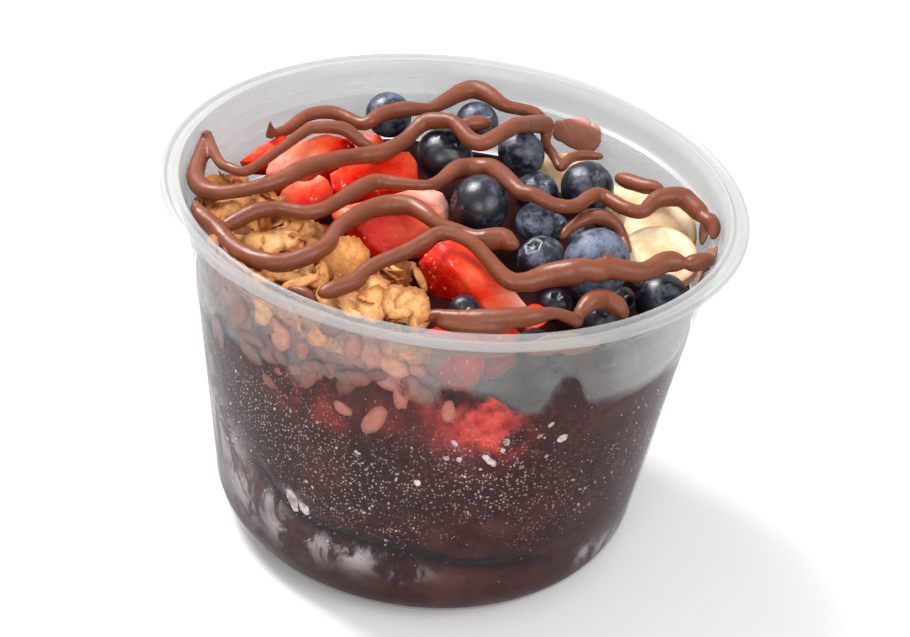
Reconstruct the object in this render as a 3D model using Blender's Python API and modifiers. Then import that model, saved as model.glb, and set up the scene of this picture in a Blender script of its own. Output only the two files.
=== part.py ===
"""An acai bowl: a clear deli tub of acai under granola, fruit and zigzags of chocolate spread.

Run with: blender --background --python part.py
Lengths are in metres, and the tables below give theirs in millimetres and degrees. The origin
is the middle of the tub's base, +Z is up, +X is to the right and +Y is away from the front.
"""

import math

import bmesh
import bpy
from mathutils import Matrix, Vector, noise

MM = 0.001
UP = Vector((0, 0, 1))

# The tub: a thin turned shell, like a 16 oz deli tub.
RIM_RADIUS = 59 * MM
TUB_HEIGHT = 79 * MM
WALL = 0.9 * MM
FOOT_RADIUS = 45.75 * MM  # where the wall meets the fillet round the base
FOOT_FILLET = 11.2 * MM
TAPER = 0.128  # how fast the wall's radius grows with height
LEDGE_HEIGHT = 72 * MM
LEDGE = 1.2 * MM  # how far the wall steps out there
RIM_WIDTH = 3.6 * MM
RIM_THICKNESS = 1.7 * MM
TURN_STEPS = 40
FILLET_STEPS = 3

GAP = 0.35 * MM  # left between any two solids
WALL_GAP = 0.5 * MM  # left inside the tub's wall, whose facets cut the corners

# The acai: level at the wall, a low dome over the middle, a little higher at the back.
ACAI_LEVEL = 58.5 * MM
ACAI_DOME = 3 * MM
ACAI_BACK = 3.5 * MM
ACAI_RIPPLE = 0.8 * MM
ACAI_RINGS = (1.0, 0.88, 0.7, 0.48, 0.25)
# Hollows that the toppings press into it: x, y, spread, depth.
ACAI_HOLLOWS = ((3, -44, 10, 8), (-34, -30, 16, 3), (26, -38, 12, 3))

# The granola: a heap on the left and front, from its inner edge (x, y) out to the tub's wall.
GRANOLA_EDGE = (
    (-46, 15), (-38, 0), (-28.5, -6), (-20, -13), (-7, -16), (-6.5, -28), (-7, -38), (-6, -47),
)
GRANOLA_BED = 1.2 * MM  # its height over the acai
GRANOLA_LIP = 1.5 * MM  # its height at its edge
GRANOLA_DEPTH = 11.5 * MM
GRANOLA_ROUGHNESS = 1.6 * MM
GRANOLA_ACROSS, GRANOLA_ALONG = 6, 16

BERRY_SEGMENTS, BERRY_RINGS = 10, 6
BERRY_HEIGHT = 0.9  # of its width, from crown to stalk
BERRY_CROWN = 0.12  # how deep the crown is sunk, of the radius

CHUNK_FLAT = math.radians(12)  # faces that meet this nearly flat are one
CHUNK_EDGE = 0.5 * MM

SLICE_SEGMENTS = 14
SLICE_OVAL = 0.88  # a banana slice's width, of its length
SLICE_EDGE = 0.6 * MM

STRAND_STEP = 4 * MM
STRAND_TIP = 0.5  # the size of its ends

# name: x, y, z of its middle, radius, then the turn and rise of the way its crown faces.
BLUEBERRIES = {
    "blueberry_01": (-3.5, 24.5, 71.5, 6.0, -60, 65),
    "blueberry_02": (12.7, 30, 71.4, 5.3, 20, 50),
    "blueberry_03": (2.5, 45, 69.5, 4.9, -60, 50),
    "blueberry_04": (27.2, 19, 70.8, 5.7, -60, 50),
    "blueberry_05": (16.9, 19.7, 67.7, 4.7, -60, 70),
    "blueberry_06": (5, 2.6, 72.5, 6.5, -115, 25),
    "blueberry_07": (16.7, -0.2, 71.9, 4.1, -95, 40),
    "blueberry_08": (21, 7.2, 67.2, 2.9, -60, 60),
    "blueberry_09": (29.6, 5.5, 67.2, 5.9, -120, 50),
    "blueberry_10": (29, -15.5, 73, 7, -90, 20),
    "blueberry_11": (18.4, -9.9, 69.2, 4.9, -60, 55),
    "blueberry_12": (43, -15.3, 66.3, 5.5, -80, 50),
    "blueberry_13": (22, -19, 64.5, 3.4, -90, 70),
    "blueberry_14": (35.5, -11.5, 63, 2.8, -90, 60),
    "blueberry_15": (28.5, -11.5, 63, 3.0, -90, 60),
    "blueberry_16": (31, -23.6, 65, 4.2, -90, 70),
    "blueberry_17": (4.5, -32, 69, 3.1, -90, 50),
    "blueberry_18": (22.3, -39.2, 62, 5.4, -70, 10),
    "blueberry_19": (18, -43, 69.8, 3.8, 90, 40),
    "blueberry_20": (34, -32, 63, 4.6, 90, 40),
    "blueberry_21": (-17, 42, 70.5, 5.1, -70, 50),
}

# name: x, y, z, length, width, the turn and rise of its stalk end and of its main cut face,
# then each cut as an offset, turn and rise in the berry's own frame, where that face is at 0, 0.
STRAWBERRIES = {
    "strawberry_02": (-20.5, 28, 69, 10, 9, (60, 20), (-120, 10), ((-1, 0, 0),)),
    "strawberry_08": (-26, -3, 64, 5.6, 5.6, (80, 30), (-90, 60), ((0, 0, 0),)),
    "strawberry_09": (18, -26.5, 65.5, 6, 6, (60, 30), (-90, 60), ((0, 0, 0),)),
    "strawberry_10": (3, -42, 62, 16, 17, (100, 75), (100, 5), ((3, 0, 0),)),
    "strawberry_11": (11.5, -34.5, 62, 12, 11, (60, 65), (100, 10), ((3, 0, 0),)),
}
# Strawberries diced into chunks. name: the corners of the chunk.
CHUNKS = {
    "strawberry_01": (
        (-39, 7.5, 71.5), (-38.5, 10, 73.5), (-35.5, 13.5, 75), (-28.5, 18.5, 76), (-24, 19.5, 75),
        (-22.5, 20, 73.5), (-24, 18.5, 73), (-31, 11, 73.5), (-35, 8.5, 71), (-38, 10.5, 66),
        (-23, 22, 66), (-26, 17, 65), (-37, 9.5, 66), (-31, 22, 66),
    ),
    "strawberry_03": (
        (-45.5, 14.5, 69.5), (-42.5, 16.5, 72), (-38.5, 20, 73.5), (-36.5, 21, 73), (-39, 16, 71.5),
        (-42, 14, 70), (-45, 18, 65), (-38, 27, 65), (-39, 19, 65),
    ),
    "strawberry_04": (
        (-35.5, -1.5, 70), (-34.5, 0.5, 72), (-31.5, 4, 73), (-28.5, 6, 73.5), (-26.5, 4.5, 73),
        (-25, 2.5, 71.5), (-26, 1, 70), (-29.5, -1, 69.5), (-36, 2, 64), (-28, 3, 64),
        (-29, 8, 65), (-35, 6, 65),
    ),
    "strawberry_05": (
        (-26, 10.5, 71.5), (-22, 14.5, 72.5), (-16, 18.5, 73), (-11.5, 21.5, 73), (-9.5, 20, 71.5),
        (-8.5, 16, 69), (-11.5, 10.5, 70), (-22.5, 7.5, 69), (-25, 7.5, 69.5), (-23.5, 9.5, 63.5),
        (-9.5, 13, 63.5), (-11, 21, 65), (-20, 16.5, 64.5),
    ),
    "strawberry_06": (
        (-24, -5, 70.5), (-22.5, -4, 72), (-18.5, -1.5, 73), (-14, 1.5, 73.5), (-7, 5.5, 73.5),
        (-3, 6, 72.5), (-1.5, 3.5, 71.5), (-1, 2, 69.5), (-19, -8, 71), (-14.5, -6, 73),
        (-9.5, -4, 73), (-4.5, -5, 72), (-15.5, -10, 65.5), (-11.5, -10.5, 65.5), (-6.5, -7.5, 67),
        (-4, -5.5, 69.5), (-18, -2, 63.5), (-4, 2, 63.5), (-5, -5, 63.5), (-12, 4, 65),
    ),
    "strawberry_07": (
        (-5, -21, 71.5), (-2, -19.5, 75.5), (0.5, -19, 76), (4, -20.5, 75.5), (1.5, -27, 75),
        (5.5, -27, 74), (-4.5, -22, 69), (-2.5, -24, 67), (1.5, -24.5, 66.5), (6.5, -28, 70),
        (16, -27, 68.5), (13, -26.5, 71.5), (9.5, -25.5, 73.5), (8.5, -29, 68), (-2, -16, 68),
        (7, -17, 68), (13, -22, 66), (3, -22, 65.5),
    ),
}

# name: x, y, z, radius, thickness, then the turn and rise of the way its face looks.
BANANAS = {
    "banana_01": (42.8, 8.8, 68, 7.6, 3.2, -105, 58),
    "banana_02": (42.5, -1.5, 67.5, 8, 3.2, -105, 58),
    "banana_03": (22, 32, 65.5, 7, 3.6, -90, 72),
    "banana_04": (37, 20.5, 66, 6.2, 3.4, -100, 62),
}

# name: the points of its route, from left to right, each with the strand's thickness there.
STRANDS = {
    "spread_01": (
        (-40, 19.5, 74, 1.5), (-37, 23, 74, 2.1), (-33.5, 29.5, 74.5, 2.2), (-28.5, 32, 74.5, 2.4),
        (-22.5, 29.5, 74, 2.4), (-20.5, 29.5, 74.5, 2.5), (-18.5, 32.5, 75, 2.7),
        (-16, 35, 75, 2.8), (-13, 37, 75, 2.9), (-8.5, 39.5, 74.5, 2), (-6.5, 41.5, 74.5, 2.5),
        (-2, 48, 75, 3.4), (1, 49.5, 75.5, 3.5), (4, 48, 75.5, 3.3), (6.5, 46, 75, 2.8),
        (9, 45, 74.5, 2.4), (14, 45, 74, 2.2),
    ),
    "spread_02": (
        (-52.5, 0.5, 76, 2.6), (-52, -3.5, 75.5, 3), (-50.5, -8, 75.5, 3.2), (-48, -11, 76, 2.9),
        (-43, -11.5, 77, 2.3), (-35.5, -7.5, 78, 2.6), (-31.5, -2.5, 78.5, 3), (-27, 4, 77.5, 3),
        (-24.5, 8, 76.5, 3), (-22, 11.5, 75.5, 2.9), (-16.5, 15.5, 75, 3.1),
        (-12.5, 20.5, 75.5, 2.8), (-10.5, 24, 76.5, 2.7), (-9, 26, 77.5, 2.9), (-7, 26, 78.5, 3.1),
        (-2.5, 24.5, 79.5, 2.6), (1.5, 20.5, 78, 2.9), (4, 19.5, 78, 2.9), (6, 21, 78.5, 2.9),
        (9.5, 24.5, 80, 2.9), (11.5, 27.5, 79.5, 3.1), (16.5, 37.5, 75, 3.5),
        (18.5, 39.5, 73.5, 3.7),
    ),
    "spread_03": (
        (-52, 10.5, 77, 1.8), (-51, 7, 77, 2), (-47.5, -1.5, 77.5, 1.7), (-45, -4, 78, 1.8),
        (-43, -5, 78, 1.8), (-41, -3.5, 78, 1.7), (-37.5, 4, 78, 1.6), (-36, 8.5, 77.5, 1.7),
        (-32.5, 15.5, 78, 2), (-30.5, 17.5, 78, 2.1), (-25, 18.5, 78, 2.4), (-21, 17.5, 76, 2.1),
    ),
    "spread_04": (
        (-42, -19.5, 75, 2.6), (-38.5, -17, 76, 2.7), (-34, -15, 76.5, 2.4),
        (-29, -15.5, 76.5, 2.4), (-26.5, -14.5, 76.5, 2.5), (-24.5, -12.5, 76.5, 2.5),
        (-21, -5.5, 76, 2.8), (-17.5, 0, 76, 2.8), (-15, 1.5, 76, 2.6), (-7.5, 1, 76.5, 1.8),
        (-4, 4, 76.5, 2.2), (-0.5, 11.5, 75.5, 3.2), (1.5, 13.5, 75, 3.4), (4, 14, 75, 3.7),
        (7, 12.5, 76, 3.5), (11, 3.5, 78, 2.9), (13, 0.5, 78, 2.8), (15.5, -1, 78.5, 2.6),
        (19.5, -2, 77.5, 2.4), (22, -1.5, 77, 2.3), (24.5, 1.5, 76, 2.4), (26.5, 5.5, 75.5, 2.5),
        (28.5, 8, 75.5, 2.5), (30.5, 8, 75, 2.5), (34.5, 4.5, 75, 2.5), (38, 4, 75, 2.4),
        (41, 8, 76, 3.2), (45.5, 9.5, 76.5, 3.5), (47.5, 8.5, 76, 3.5), (51, 4, 75, 3.2),
    ),
    "spread_05": (
        (32.5, 18.5, 74.5, 2.3), (34.5, 17.5, 74.5, 2.8), (38.5, 14, 75.5, 2.7),
        (40.5, 13, 76, 2.5),
    ),
    "spread_06": (
        (-49.5, -17, 75.5, 2.7), (-48.5, -18.5, 75, 3.2), (-44.5, -22, 74, 3.1),
        (-40, -27.5, 73.5, 3.2), (-35, -31, 74, 3.2), (-30, -31.5, 74.5, 3.1),
        (-23.5, -27, 76, 2.8), (-21.5, -19, 76, 2.7), (-18, -11.5, 75.5, 3.1),
        (-13.5, -7, 75.5, 3.4), (-8.5, -7, 76, 3.3), (-4.5, -10.5, 76, 2.8),
        (-2.5, -12, 75.5, 2.4), (2.5, -13.5, 75, 2.4), (4.5, -14.5, 75, 2.7), (6.5, -15, 75, 3.7),
        (10, -14.5, 75.5, 3.7), (12, -16, 75.5, 2.9), (13.5, -16.5, 75.5, 2.3),
    ),
    "spread_07": (
        (-22.5, -42, 75, 2.6), (-16.5, -37, 75.5, 2.8), (-15.5, -35, 76, 2.6),
        (-12.5, -31.5, 77, 2.3), (-8.5, -28, 77.5, 2.4), (-4.5, -24, 78.5, 2.3),
        (-1.5, -21.5, 79.5, 2.2), (4.5, -23, 78.5, 2.3), (11.5, -28.5, 75, 2.9),
        (15.5, -28, 74.5, 3.2), (19.5, -25.5, 75, 4), (24, -25.5, 76.5, 4.3), (26, -25.2, 77, 3.7),
        (28.5, -24.8, 76.5, 3.6), (30.5, -23, 76.8, 3.9), (37.5, -20, 75, 3.3),
        (42, -16, 75.5, 3.6), (44, -15.5, 75.5, 3.7), (46, -16, 75.5, 3.5),
    ),
    "spread_08": (
        (-2.5, -42, 73, 2.2), (-0.5, -42, 73.5, 2.2), (2.5, -43, 74, 2.6), (9.5, -43.5, 75, 3.4),
        (16.5, -42.5, 76, 2.9), (21, -39.5, 75.5, 1.8), (22.5, -38.5, 74.5, 1.9),
    ),
    "spread_09": (
        (25.5, -36, 72, 1.9), (26, -33, 72, 2.2), (28, -30, 73, 3.2), (31, -27.5, 72.5, 3.3),
        (34, -29, 71.5, 2.8), (35, -30, 70.5, 2.5),
    ),
}

# name: its turn round the tub, height, half width, half height and thickness on the wall.
SMEARS = {
    "smear_01": (59, 69, 6, 4.5, 2.4),
    "smear_02": (-9, 71, 5, 5, 2),
    "smear_03": (-92, 73.5, 8, 3, 2),
    "smear_04": (-66, 74, 5.5, 3, 2),
}


# --- helpers ---------------------------------------------------------------------------------


def material(name, colour, roughness, transmission=0.0):
    """A Principled material of one colour."""
    made = bpy.data.materials.new(name)
    made.use_nodes = True
    shader = made.node_tree.nodes["Principled BSDF"]
    shader.inputs["Base Color"].default_value = (*colour, 1)
    shader.inputs["Roughness"].default_value = roughness
    shader.inputs["Metallic"].default_value = 0
    shader.inputs["Transmission Weight"].default_value = transmission
    made.diffuse_color = (*colour, 1)
    return made


def add_object(name, data, surface, location=(0, 0, 0)):
    """Puts a mesh or curve into the bowl's collection as one named object."""
    data.materials.append(surface)
    piece = bpy.data.objects.new(name, data)
    piece.location = location
    bpy.data.collections["acai_bowl"].objects.link(piece)
    return piece


def mesh_from(bm, name):
    """Turns a bmesh into a mesh with its faces outwards and shaded smooth."""
    bmesh.ops.recalc_face_normals(bm, faces=bm.faces)
    if bm.calc_volume(signed=True) < 0:
        bmesh.ops.reverse_faces(bm, faces=bm.faces)
    data = bpy.data.meshes.new(name)
    bm.to_mesh(data)
    bm.free()
    data.shade_smooth()
    data.set_sharp_from_angle(angle=math.radians(40))
    return data


def direction(turn, rise):
    """The unit vector at these degrees round +Z from +X, and above the horizon."""
    flat = math.cos(math.radians(rise))
    turn = math.radians(turn)
    return Vector((flat * math.cos(turn), flat * math.sin(turn), math.sin(math.radians(rise))))


def arc(radius, start, end, steps):
    """Points on the fillet round the tub's base, from one angle in degrees to another."""
    angles = [math.radians(start + (end - start) * i / steps) for i in range(steps + 1)]
    centre = FOOT_RADIUS - FOOT_FILLET
    return [(centre + radius * math.cos(a), FOOT_FILLET + radius * math.sin(a)) for a in angles]


def inner_radius(z):
    """Radius of the tub's inner wall at height z, below the ledge."""
    return FOOT_RADIUS - WALL + (z - FOOT_FILLET) * TAPER


def room(z):
    """How far from the axis a solid may reach at height z."""
    return inner_radius(z) - WALL_GAP


def along_route(points, place):
    """The point at a place counted in points, on the smooth curve through all of them."""
    i = min(int(place), len(points) - 2)
    t = place - i
    start, end = points[i], points[i + 1]
    slope_in = (end - points[max(i - 1, 0)]) / 2
    slope_out = (points[min(i + 2, len(points) - 1)] - start) / 2
    return (
        (2 * t**3 - 3 * t**2 + 1) * start
        + (t**3 - 2 * t**2 + t) * slope_in
        + (3 * t**2 - 2 * t**3) * end
        + (t**3 - t**2) * slope_out
    )


# --- the tub and what fills it ---------------------------------------------------------------


def make_tub():
    """The clear tub, from the middle of its floor up the inside, over the rim and down."""
    inside = [(0, WALL), *arc(FOOT_FILLET - WALL, -90, 0, FILLET_STEPS)]
    inside += [(inner_radius(LEDGE_HEIGHT), LEDGE_HEIGHT)]
    shoulder = LEDGE_HEIGHT + 1.5 * LEDGE
    step = inner_radius(LEDGE_HEIGHT) + LEDGE
    under = TUB_HEIGHT - RIM_THICKNESS
    rim = [
        (step, shoulder),
        (RIM_RADIUS - RIM_WIDTH - 1 * MM, under + 0.6 * MM),
        (RIM_RADIUS - RIM_WIDTH, TUB_HEIGHT),
        (RIM_RADIUS - RIM_WIDTH / 2, TUB_HEIGHT - 0.4 * MM),
        (RIM_RADIUS - 0.5 * MM, TUB_HEIGHT),
        (RIM_RADIUS, TUB_HEIGHT - 0.5 * MM),
        (RIM_RADIUS, under + 0.3 * MM),
        (RIM_RADIUS - 0.5 * MM, under),
        (RIM_RADIUS - RIM_WIDTH + 0.6 * MM, under),
        (step + WALL, under - 0.6 * MM),
        (step + WALL, shoulder),
    ]
    outside = [(inner_radius(LEDGE_HEIGHT) + WALL, LEDGE_HEIGHT)]
    outside += [*arc(FOOT_FILLET, 0, -90, FILLET_STEPS), (0, 0)]
    profile = inside + rim + outside
    data = bpy.data.meshes.new("tub")
    edges = [(i, i + 1) for i in range(len(profile) - 1)]
    data.from_pydata([(r, 0, z) for r, z in profile], edges, [])
    tub = add_object("tub", data, material("clear_plastic", (0.8, 0.8, 0.82), 0.2, 0.9))
    screw = tub.modifiers.new("turn", "SCREW")
    screw.steps = screw.render_steps = TURN_STEPS
    screw.use_merge_vertices = True
    screw.merge_threshold = 0.01 * MM
    return tub


def acai_top(x, y):
    """Height of the acai's surface."""
    out = math.hypot(x, y) / inner_radius(ACAI_LEVEL)
    height = ACAI_LEVEL + ACAI_DOME * (1 - out * out) + ACAI_BACK * y / RIM_RADIUS
    height += ACAI_RIPPLE * noise.noise(Vector((x, y, 0)) / (14 * MM))
    for cx, cy, spread, depth in ACAI_HOLLOWS:
        away = math.hypot(x / MM - cx, y / MM - cy) / spread
        height -= depth * MM * math.exp(-away * away)
    return height


def make_acai():
    """The acai, filling the tub from its floor up to the uneven surface."""
    edge = inner_radius(ACAI_LEVEL) - GAP
    foot = arc(FOOT_FILLET - WALL - GAP, -90, 0, FILLET_STEPS)
    profile = [(0, WALL + GAP), *foot, *[(edge * ring, ACAI_LEVEL) for ring in ACAI_RINGS]]
    profile.append((0, ACAI_LEVEL))
    bm = bmesh.new()
    line = [bm.verts.new((r, 0, z)) for r, z in profile]
    edges = [bm.edges.new(pair) for pair in zip(line, line[1:])]
    turn = {"cent": (0, 0, 0), "axis": UP, "angle": math.tau, "steps": TURN_STEPS}
    bmesh.ops.spin(bm, geom=line + edges, use_merge=True, **turn)
    bmesh.ops.remove_doubles(bm, verts=bm.verts, dist=0.01 * MM)
    for vertex in bm.verts:
        x, y, z = vertex.co
        if z > ACAI_LEVEL - 0.5 * MM:
            vertex.co.z = acai_top(x, y)
            limit = inner_radius(vertex.co.z) - GAP
            vertex.co.xy *= min(1, limit / max(vertex.co.xy.length, MM))
    return add_object("acai", mesh_from(bm, "acai"), material("acai", (0.09, 0.035, 0.04), 0.4))


def make_granola():
    """The heap of granola: a curved sheet of squares, extruded down to the acai."""
    bm = bmesh.new()
    bmesh.ops.create_grid(bm, x_segments=GRANOLA_ALONG, y_segments=GRANOLA_ACROSS, size=1)
    extruded = bmesh.ops.extrude_face_region(bm, geom=bm.faces[:])["geom"]
    top = {item for item in extruded if isinstance(item, bmesh.types.BMVert)}
    edge = [Vector((*point, 0)) * MM for point in GRANOLA_EDGE]
    for vertex in bm.verts:
        along, across = (vertex.co.x + 1) / 2, (vertex.co.y + 1) / 2
        inner = along_route(edge, along * (len(edge) - 1))
        x, y, _ = inner.lerp(inner.normalized() * room(68 * MM), across)
        height = acai_top(x, y) + GRANOLA_BED
        if vertex in top:
            rise = min(1, 3 * across, 6 * along, 6 * (1 - along))
            bump = noise.noise(Vector((x, y, 5)) / (5 * MM))
            height += GRANOLA_LIP + GRANOLA_DEPTH * rise + GRANOLA_ROUGHNESS * bump
        vertex.co = (x, y, height)
        vertex.co.xy *= min(1, room(height) / vertex.co.xy.length)
    return add_object("granola", mesh_from(bm, "granola"), material("granola", (0.6, 0.36, 0.15), 0.8))


# --- the toppings ----------------------------------------------------------------------------


def blueberry(radius, turn, rise):
    """A round berry, a little flattened, with a dimple where its crown is."""
    bm = bmesh.new()
    bmesh.ops.create_uvsphere(
        bm, u_segments=BERRY_SEGMENTS, v_segments=BERRY_RINGS, radius=radius * MM
    )
    for vertex in bm.verts:
        vertex.co.z *= BERRY_HEIGHT
        if vertex.co.xy.length < 0.1 * MM and vertex.co.z > 0:
            vertex.co.z -= BERRY_CROWN * radius * MM
    facing = direction(turn, rise).to_track_quat("Z", "Y")
    bmesh.ops.rotate(bm, verts=bm.verts, matrix=facing.to_matrix())
    return mesh_from(bm, "blueberry")


def lying(stalk, face):
    """The rotation that points +Z to the stalk's direction and +X near the face's."""
    up = direction(*stalk)
    side = up.cross(direction(*face)).normalized()
    return Matrix((side.cross(up), side, up)).transposed()


def strawberry(length, width, stalk, face, cuts):
    """A piece of a strawberry, whose stalk end is at its own +Z: the berry, cut by planes."""
    bm = bmesh.new()
    bmesh.ops.create_uvsphere(bm, u_segments=12, v_segments=7, radius=1)
    for vertex in bm.verts:
        taper = 0.78 + 0.3 * vertex.co.z - 0.1 * vertex.co.z**2
        vertex.co.xy *= taper * width / 2 * MM
        vertex.co.z *= length / 2 * MM
    for offset, turn, rise in cuts:
        normal = direction(turn, rise)
        everything = bm.verts[:] + bm.edges[:] + bm.faces[:]
        cut = bmesh.ops.bisect_plane(
            bm, geom=everything, plane_co=normal * offset * MM, plane_no=normal, clear_outer=True
        )
        rim = [item for item in cut["geom_cut"] if isinstance(item, bmesh.types.BMEdge)]
        bmesh.ops.edgeloop_fill(bm, edges=rim)
    middle = sum((vertex.co for vertex in bm.verts), Vector()) / len(bm.verts)
    bmesh.ops.translate(bm, verts=bm.verts, vec=-middle)
    bmesh.ops.rotate(bm, verts=bm.verts, matrix=lying(stalk, face))
    bmesh.ops.triangulate(bm, faces=bm.faces)
    return mesh_from(bm, "strawberry")


def chunk(corners):
    """A diced piece: the hull of its corners, with its edges taken off."""
    bm = bmesh.new()
    for corner in corners:
        bm.verts.new(Vector(corner) * MM)
    hull = bmesh.ops.convex_hull(bm, input=bm.verts)
    bmesh.ops.delete(bm, geom=hull["geom_interior"], context="VERTS")
    bmesh.ops.dissolve_limit(bm, angle_limit=CHUNK_FLAT, verts=bm.verts, edges=bm.edges)
    bmesh.ops.bevel(
        bm, geom=bm.edges, offset=CHUNK_EDGE, segments=1, affect="EDGES", profile=0.5,
        clamp_overlap=True,
    )
    bmesh.ops.triangulate(bm, faces=bm.faces)
    return mesh_from(bm, "chunk")


def banana(radius, thickness, turn, rise):
    """A slice of banana, a little oval, with softened edges."""
    bm = bmesh.new()
    bmesh.ops.create_cone(
        bm,
        cap_ends=True,
        segments=SLICE_SEGMENTS,
        radius1=radius * MM,
        radius2=radius * MM,
        depth=thickness * MM,
    )
    bmesh.ops.scale(bm, verts=bm.verts, vec=(1, SLICE_OVAL, 1))
    rims = [edge for edge in bm.edges if abs(edge.verts[0].co.z - edge.verts[1].co.z) < 0.1 * MM]
    bmesh.ops.bevel(bm, geom=rims, offset=SLICE_EDGE, segments=1, affect="EDGES", profile=0.5)
    facing = direction(turn, rise).to_track_quat("Z", "Y")
    bmesh.ops.rotate(bm, verts=bm.verts, matrix=facing.to_matrix())
    return mesh_from(bm, "banana")


# --- the chocolate spread --------------------------------------------------------------------


def smooth_route(points, step):
    """Points every step along a smooth curve through the route's own points."""
    line = []
    for i, (start, end) in enumerate(zip(points, points[1:])):
        count = max(1, round((end - start).length / step))
        line += [along_route(points, i + j / count) for j in range(count)]
    return [*line, points[-1]]


def make_strand(name, route, surface):
    """One squeezed strand: a tube as thick as its route says, with thin ends."""
    points = smooth_route([Vector(point) * MM for point in route], STRAND_STEP)
    data = bpy.data.curves.new(name, "CURVE")
    data.dimensions = "3D"
    data.bevel_depth = MM
    data.bevel_resolution = 2
    data.use_fill_caps = True
    spline = data.splines.new("POLY")
    spline.points.add(len(points) - 1)
    for knot, point in zip(spline.points, points):
        knot.co = (*point.xyz, 1)
        knot.radius = point.w / 2 / MM
    spline.points[0].radius *= STRAND_TIP
    spline.points[-1].radius *= STRAND_TIP
    return add_object(name, data, surface)


def make_smear(name, turn, height, half_width, half_height, thickness, surface):
    """A patch of spread on the inner wall: a ball, flattened and bent to the wall."""
    bm = bmesh.new()
    bmesh.ops.create_uvsphere(bm, u_segments=12, v_segments=7, radius=1)
    for vertex in bm.verts:
        across, depth, up = vertex.co
        z = height * MM + up * half_height * MM
        radius = room(z) - thickness / 2 * MM * (1 + depth)
        angle = math.radians(turn) + across * half_width * MM / inner_radius(z)
        vertex.co = (radius * math.cos(angle), radius * math.sin(angle), z)
    return add_object(name, mesh_from(bm, name), surface)


def main():
    for leftover in list(bpy.data.objects):
        bpy.data.objects.remove(leftover)
    bowl = bpy.data.collections.new("acai_bowl")
    bpy.context.scene.collection.children.link(bowl)

    make_tub()
    make_acai()
    make_granola()
    flesh = material("banana", (0.86, 0.72, 0.42), 0.5)
    for name, (x, y, z, *shape) in BANANAS.items():
        add_object(name, banana(*shape), flesh, Vector((x, y, z)) * MM)
    red = material("strawberry", (0.75, 0.06, 0.03), 0.3)
    for name, (x, y, z, *shape) in STRAWBERRIES.items():
        add_object(name, strawberry(*shape), red, Vector((x, y, z)) * MM)
    for name, corners in CHUNKS.items():
        add_object(name, chunk(corners), red)
    blue = material("blueberry", (0.03, 0.035, 0.06), 0.45)
    for name, (x, y, z, *shape) in BLUEBERRIES.items():
        add_object(name, blueberry(*shape), blue, Vector((x, y, z)) * MM)
    brown = material("chocolate_spread", (0.2, 0.075, 0.04), 0.3)
    for name, route in STRANDS.items():
        make_strand(name, route, brown)
    for name, shape in SMEARS.items():
        make_smear(name, *shape, brown)


if __name__ == "__main__":
    main()
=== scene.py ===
"""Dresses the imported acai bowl: clear tub, acai, granola, fruit and chocolate spread.

Run with: blender --background --python scene.py
Lengths are in metres, and the tables give theirs in millimetres and degrees. +Z is up, +X is
to the right and -Y is the front. A turn goes round +Z from +X, and a rise is above the horizon.
"""

import bisect
import math
import random

import bmesh
import bpy
from bpy.props import FloatProperty, FloatVectorProperty, IntProperty, PointerProperty
from mathutils import Matrix, Vector, noise


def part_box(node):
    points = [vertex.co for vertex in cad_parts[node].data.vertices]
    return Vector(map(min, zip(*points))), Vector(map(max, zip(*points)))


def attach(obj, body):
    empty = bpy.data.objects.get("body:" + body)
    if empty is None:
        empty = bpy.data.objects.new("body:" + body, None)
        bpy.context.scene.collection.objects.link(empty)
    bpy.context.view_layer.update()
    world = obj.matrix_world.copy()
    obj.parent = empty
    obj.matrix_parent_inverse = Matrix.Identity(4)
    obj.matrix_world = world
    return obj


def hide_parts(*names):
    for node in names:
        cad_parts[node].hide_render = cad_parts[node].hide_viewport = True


bl_info = {
    "name": "Acai Bowl",
    "version": (1, 0, 0),
    "blender": (4, 5, 0),
    "location": "View3D > Sidebar > Acai Bowl",
    "description": "A clear tub of acai with granola, fruit and chocolate spread",
    "category": "Add Mesh",
}

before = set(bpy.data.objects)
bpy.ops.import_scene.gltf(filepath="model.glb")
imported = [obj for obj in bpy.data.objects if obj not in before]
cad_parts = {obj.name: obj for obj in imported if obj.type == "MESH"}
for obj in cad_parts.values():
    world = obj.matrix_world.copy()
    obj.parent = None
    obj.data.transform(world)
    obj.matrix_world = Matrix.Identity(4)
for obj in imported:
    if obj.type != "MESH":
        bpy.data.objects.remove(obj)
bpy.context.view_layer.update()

MM = 0.001

# The tub's own sizes.
RIM_RADIUS = 59
TUB_HEIGHT = 79
WALL = 0.9
FOOT_RADIUS = 45.75
FOOT_FILLET = 11.2
TAPER = 0.128
LEDGE_HEIGHT = 72
LEDGE = 1.2
SINK = 0.55  # how far the acai reaches into the wall

# How high the acai wets the wall: turn, height.
WET_LINE = (
    (-180, 56.5), (-165, 55), (-154, 54.5), (-148, 55.1), (-139, 56), (-131, 56.6), (-127, 58.5),
    (-125, 60.9), (-122.9, 59.8), (-119.5, 56), (-115.5, 60.2), (-113.4, 61.7), (-110.3, 61.1),
    (-105.5, 62.4), (-101.6, 64.3), (-98.2, 63.4), (-95, 64.5), (-92, 61.5), (-89.4, 60.6),
    (-87.5, 64.9), (-84, 64), (-78, 63.2), (-74.8, 61.4), (-72.7, 59.5), (-69.2, 57.8),
    (-66.3, 57.8), (-65, 59.3), (-64.2, 61.8), (-63.4, 64.8), (-62, 66.2), (-60.4, 66.1),
    (-58.8, 64.6), (-57.4, 62.2), (-56.2, 60.2), (-55.2, 58.7), (-52.5, 57.4), (-45, 57.3),
    (-38.3, 56.7), (-32.5, 56.3), (-25, 55.6), (-19.5, 54.5), (-5, 55), (15, 57.5), (35, 59),
    (52, 61), (60, 60), (85, 59), (110, 61), (135, 58.5), (160, 58), (180, 56.5),
)

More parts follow.
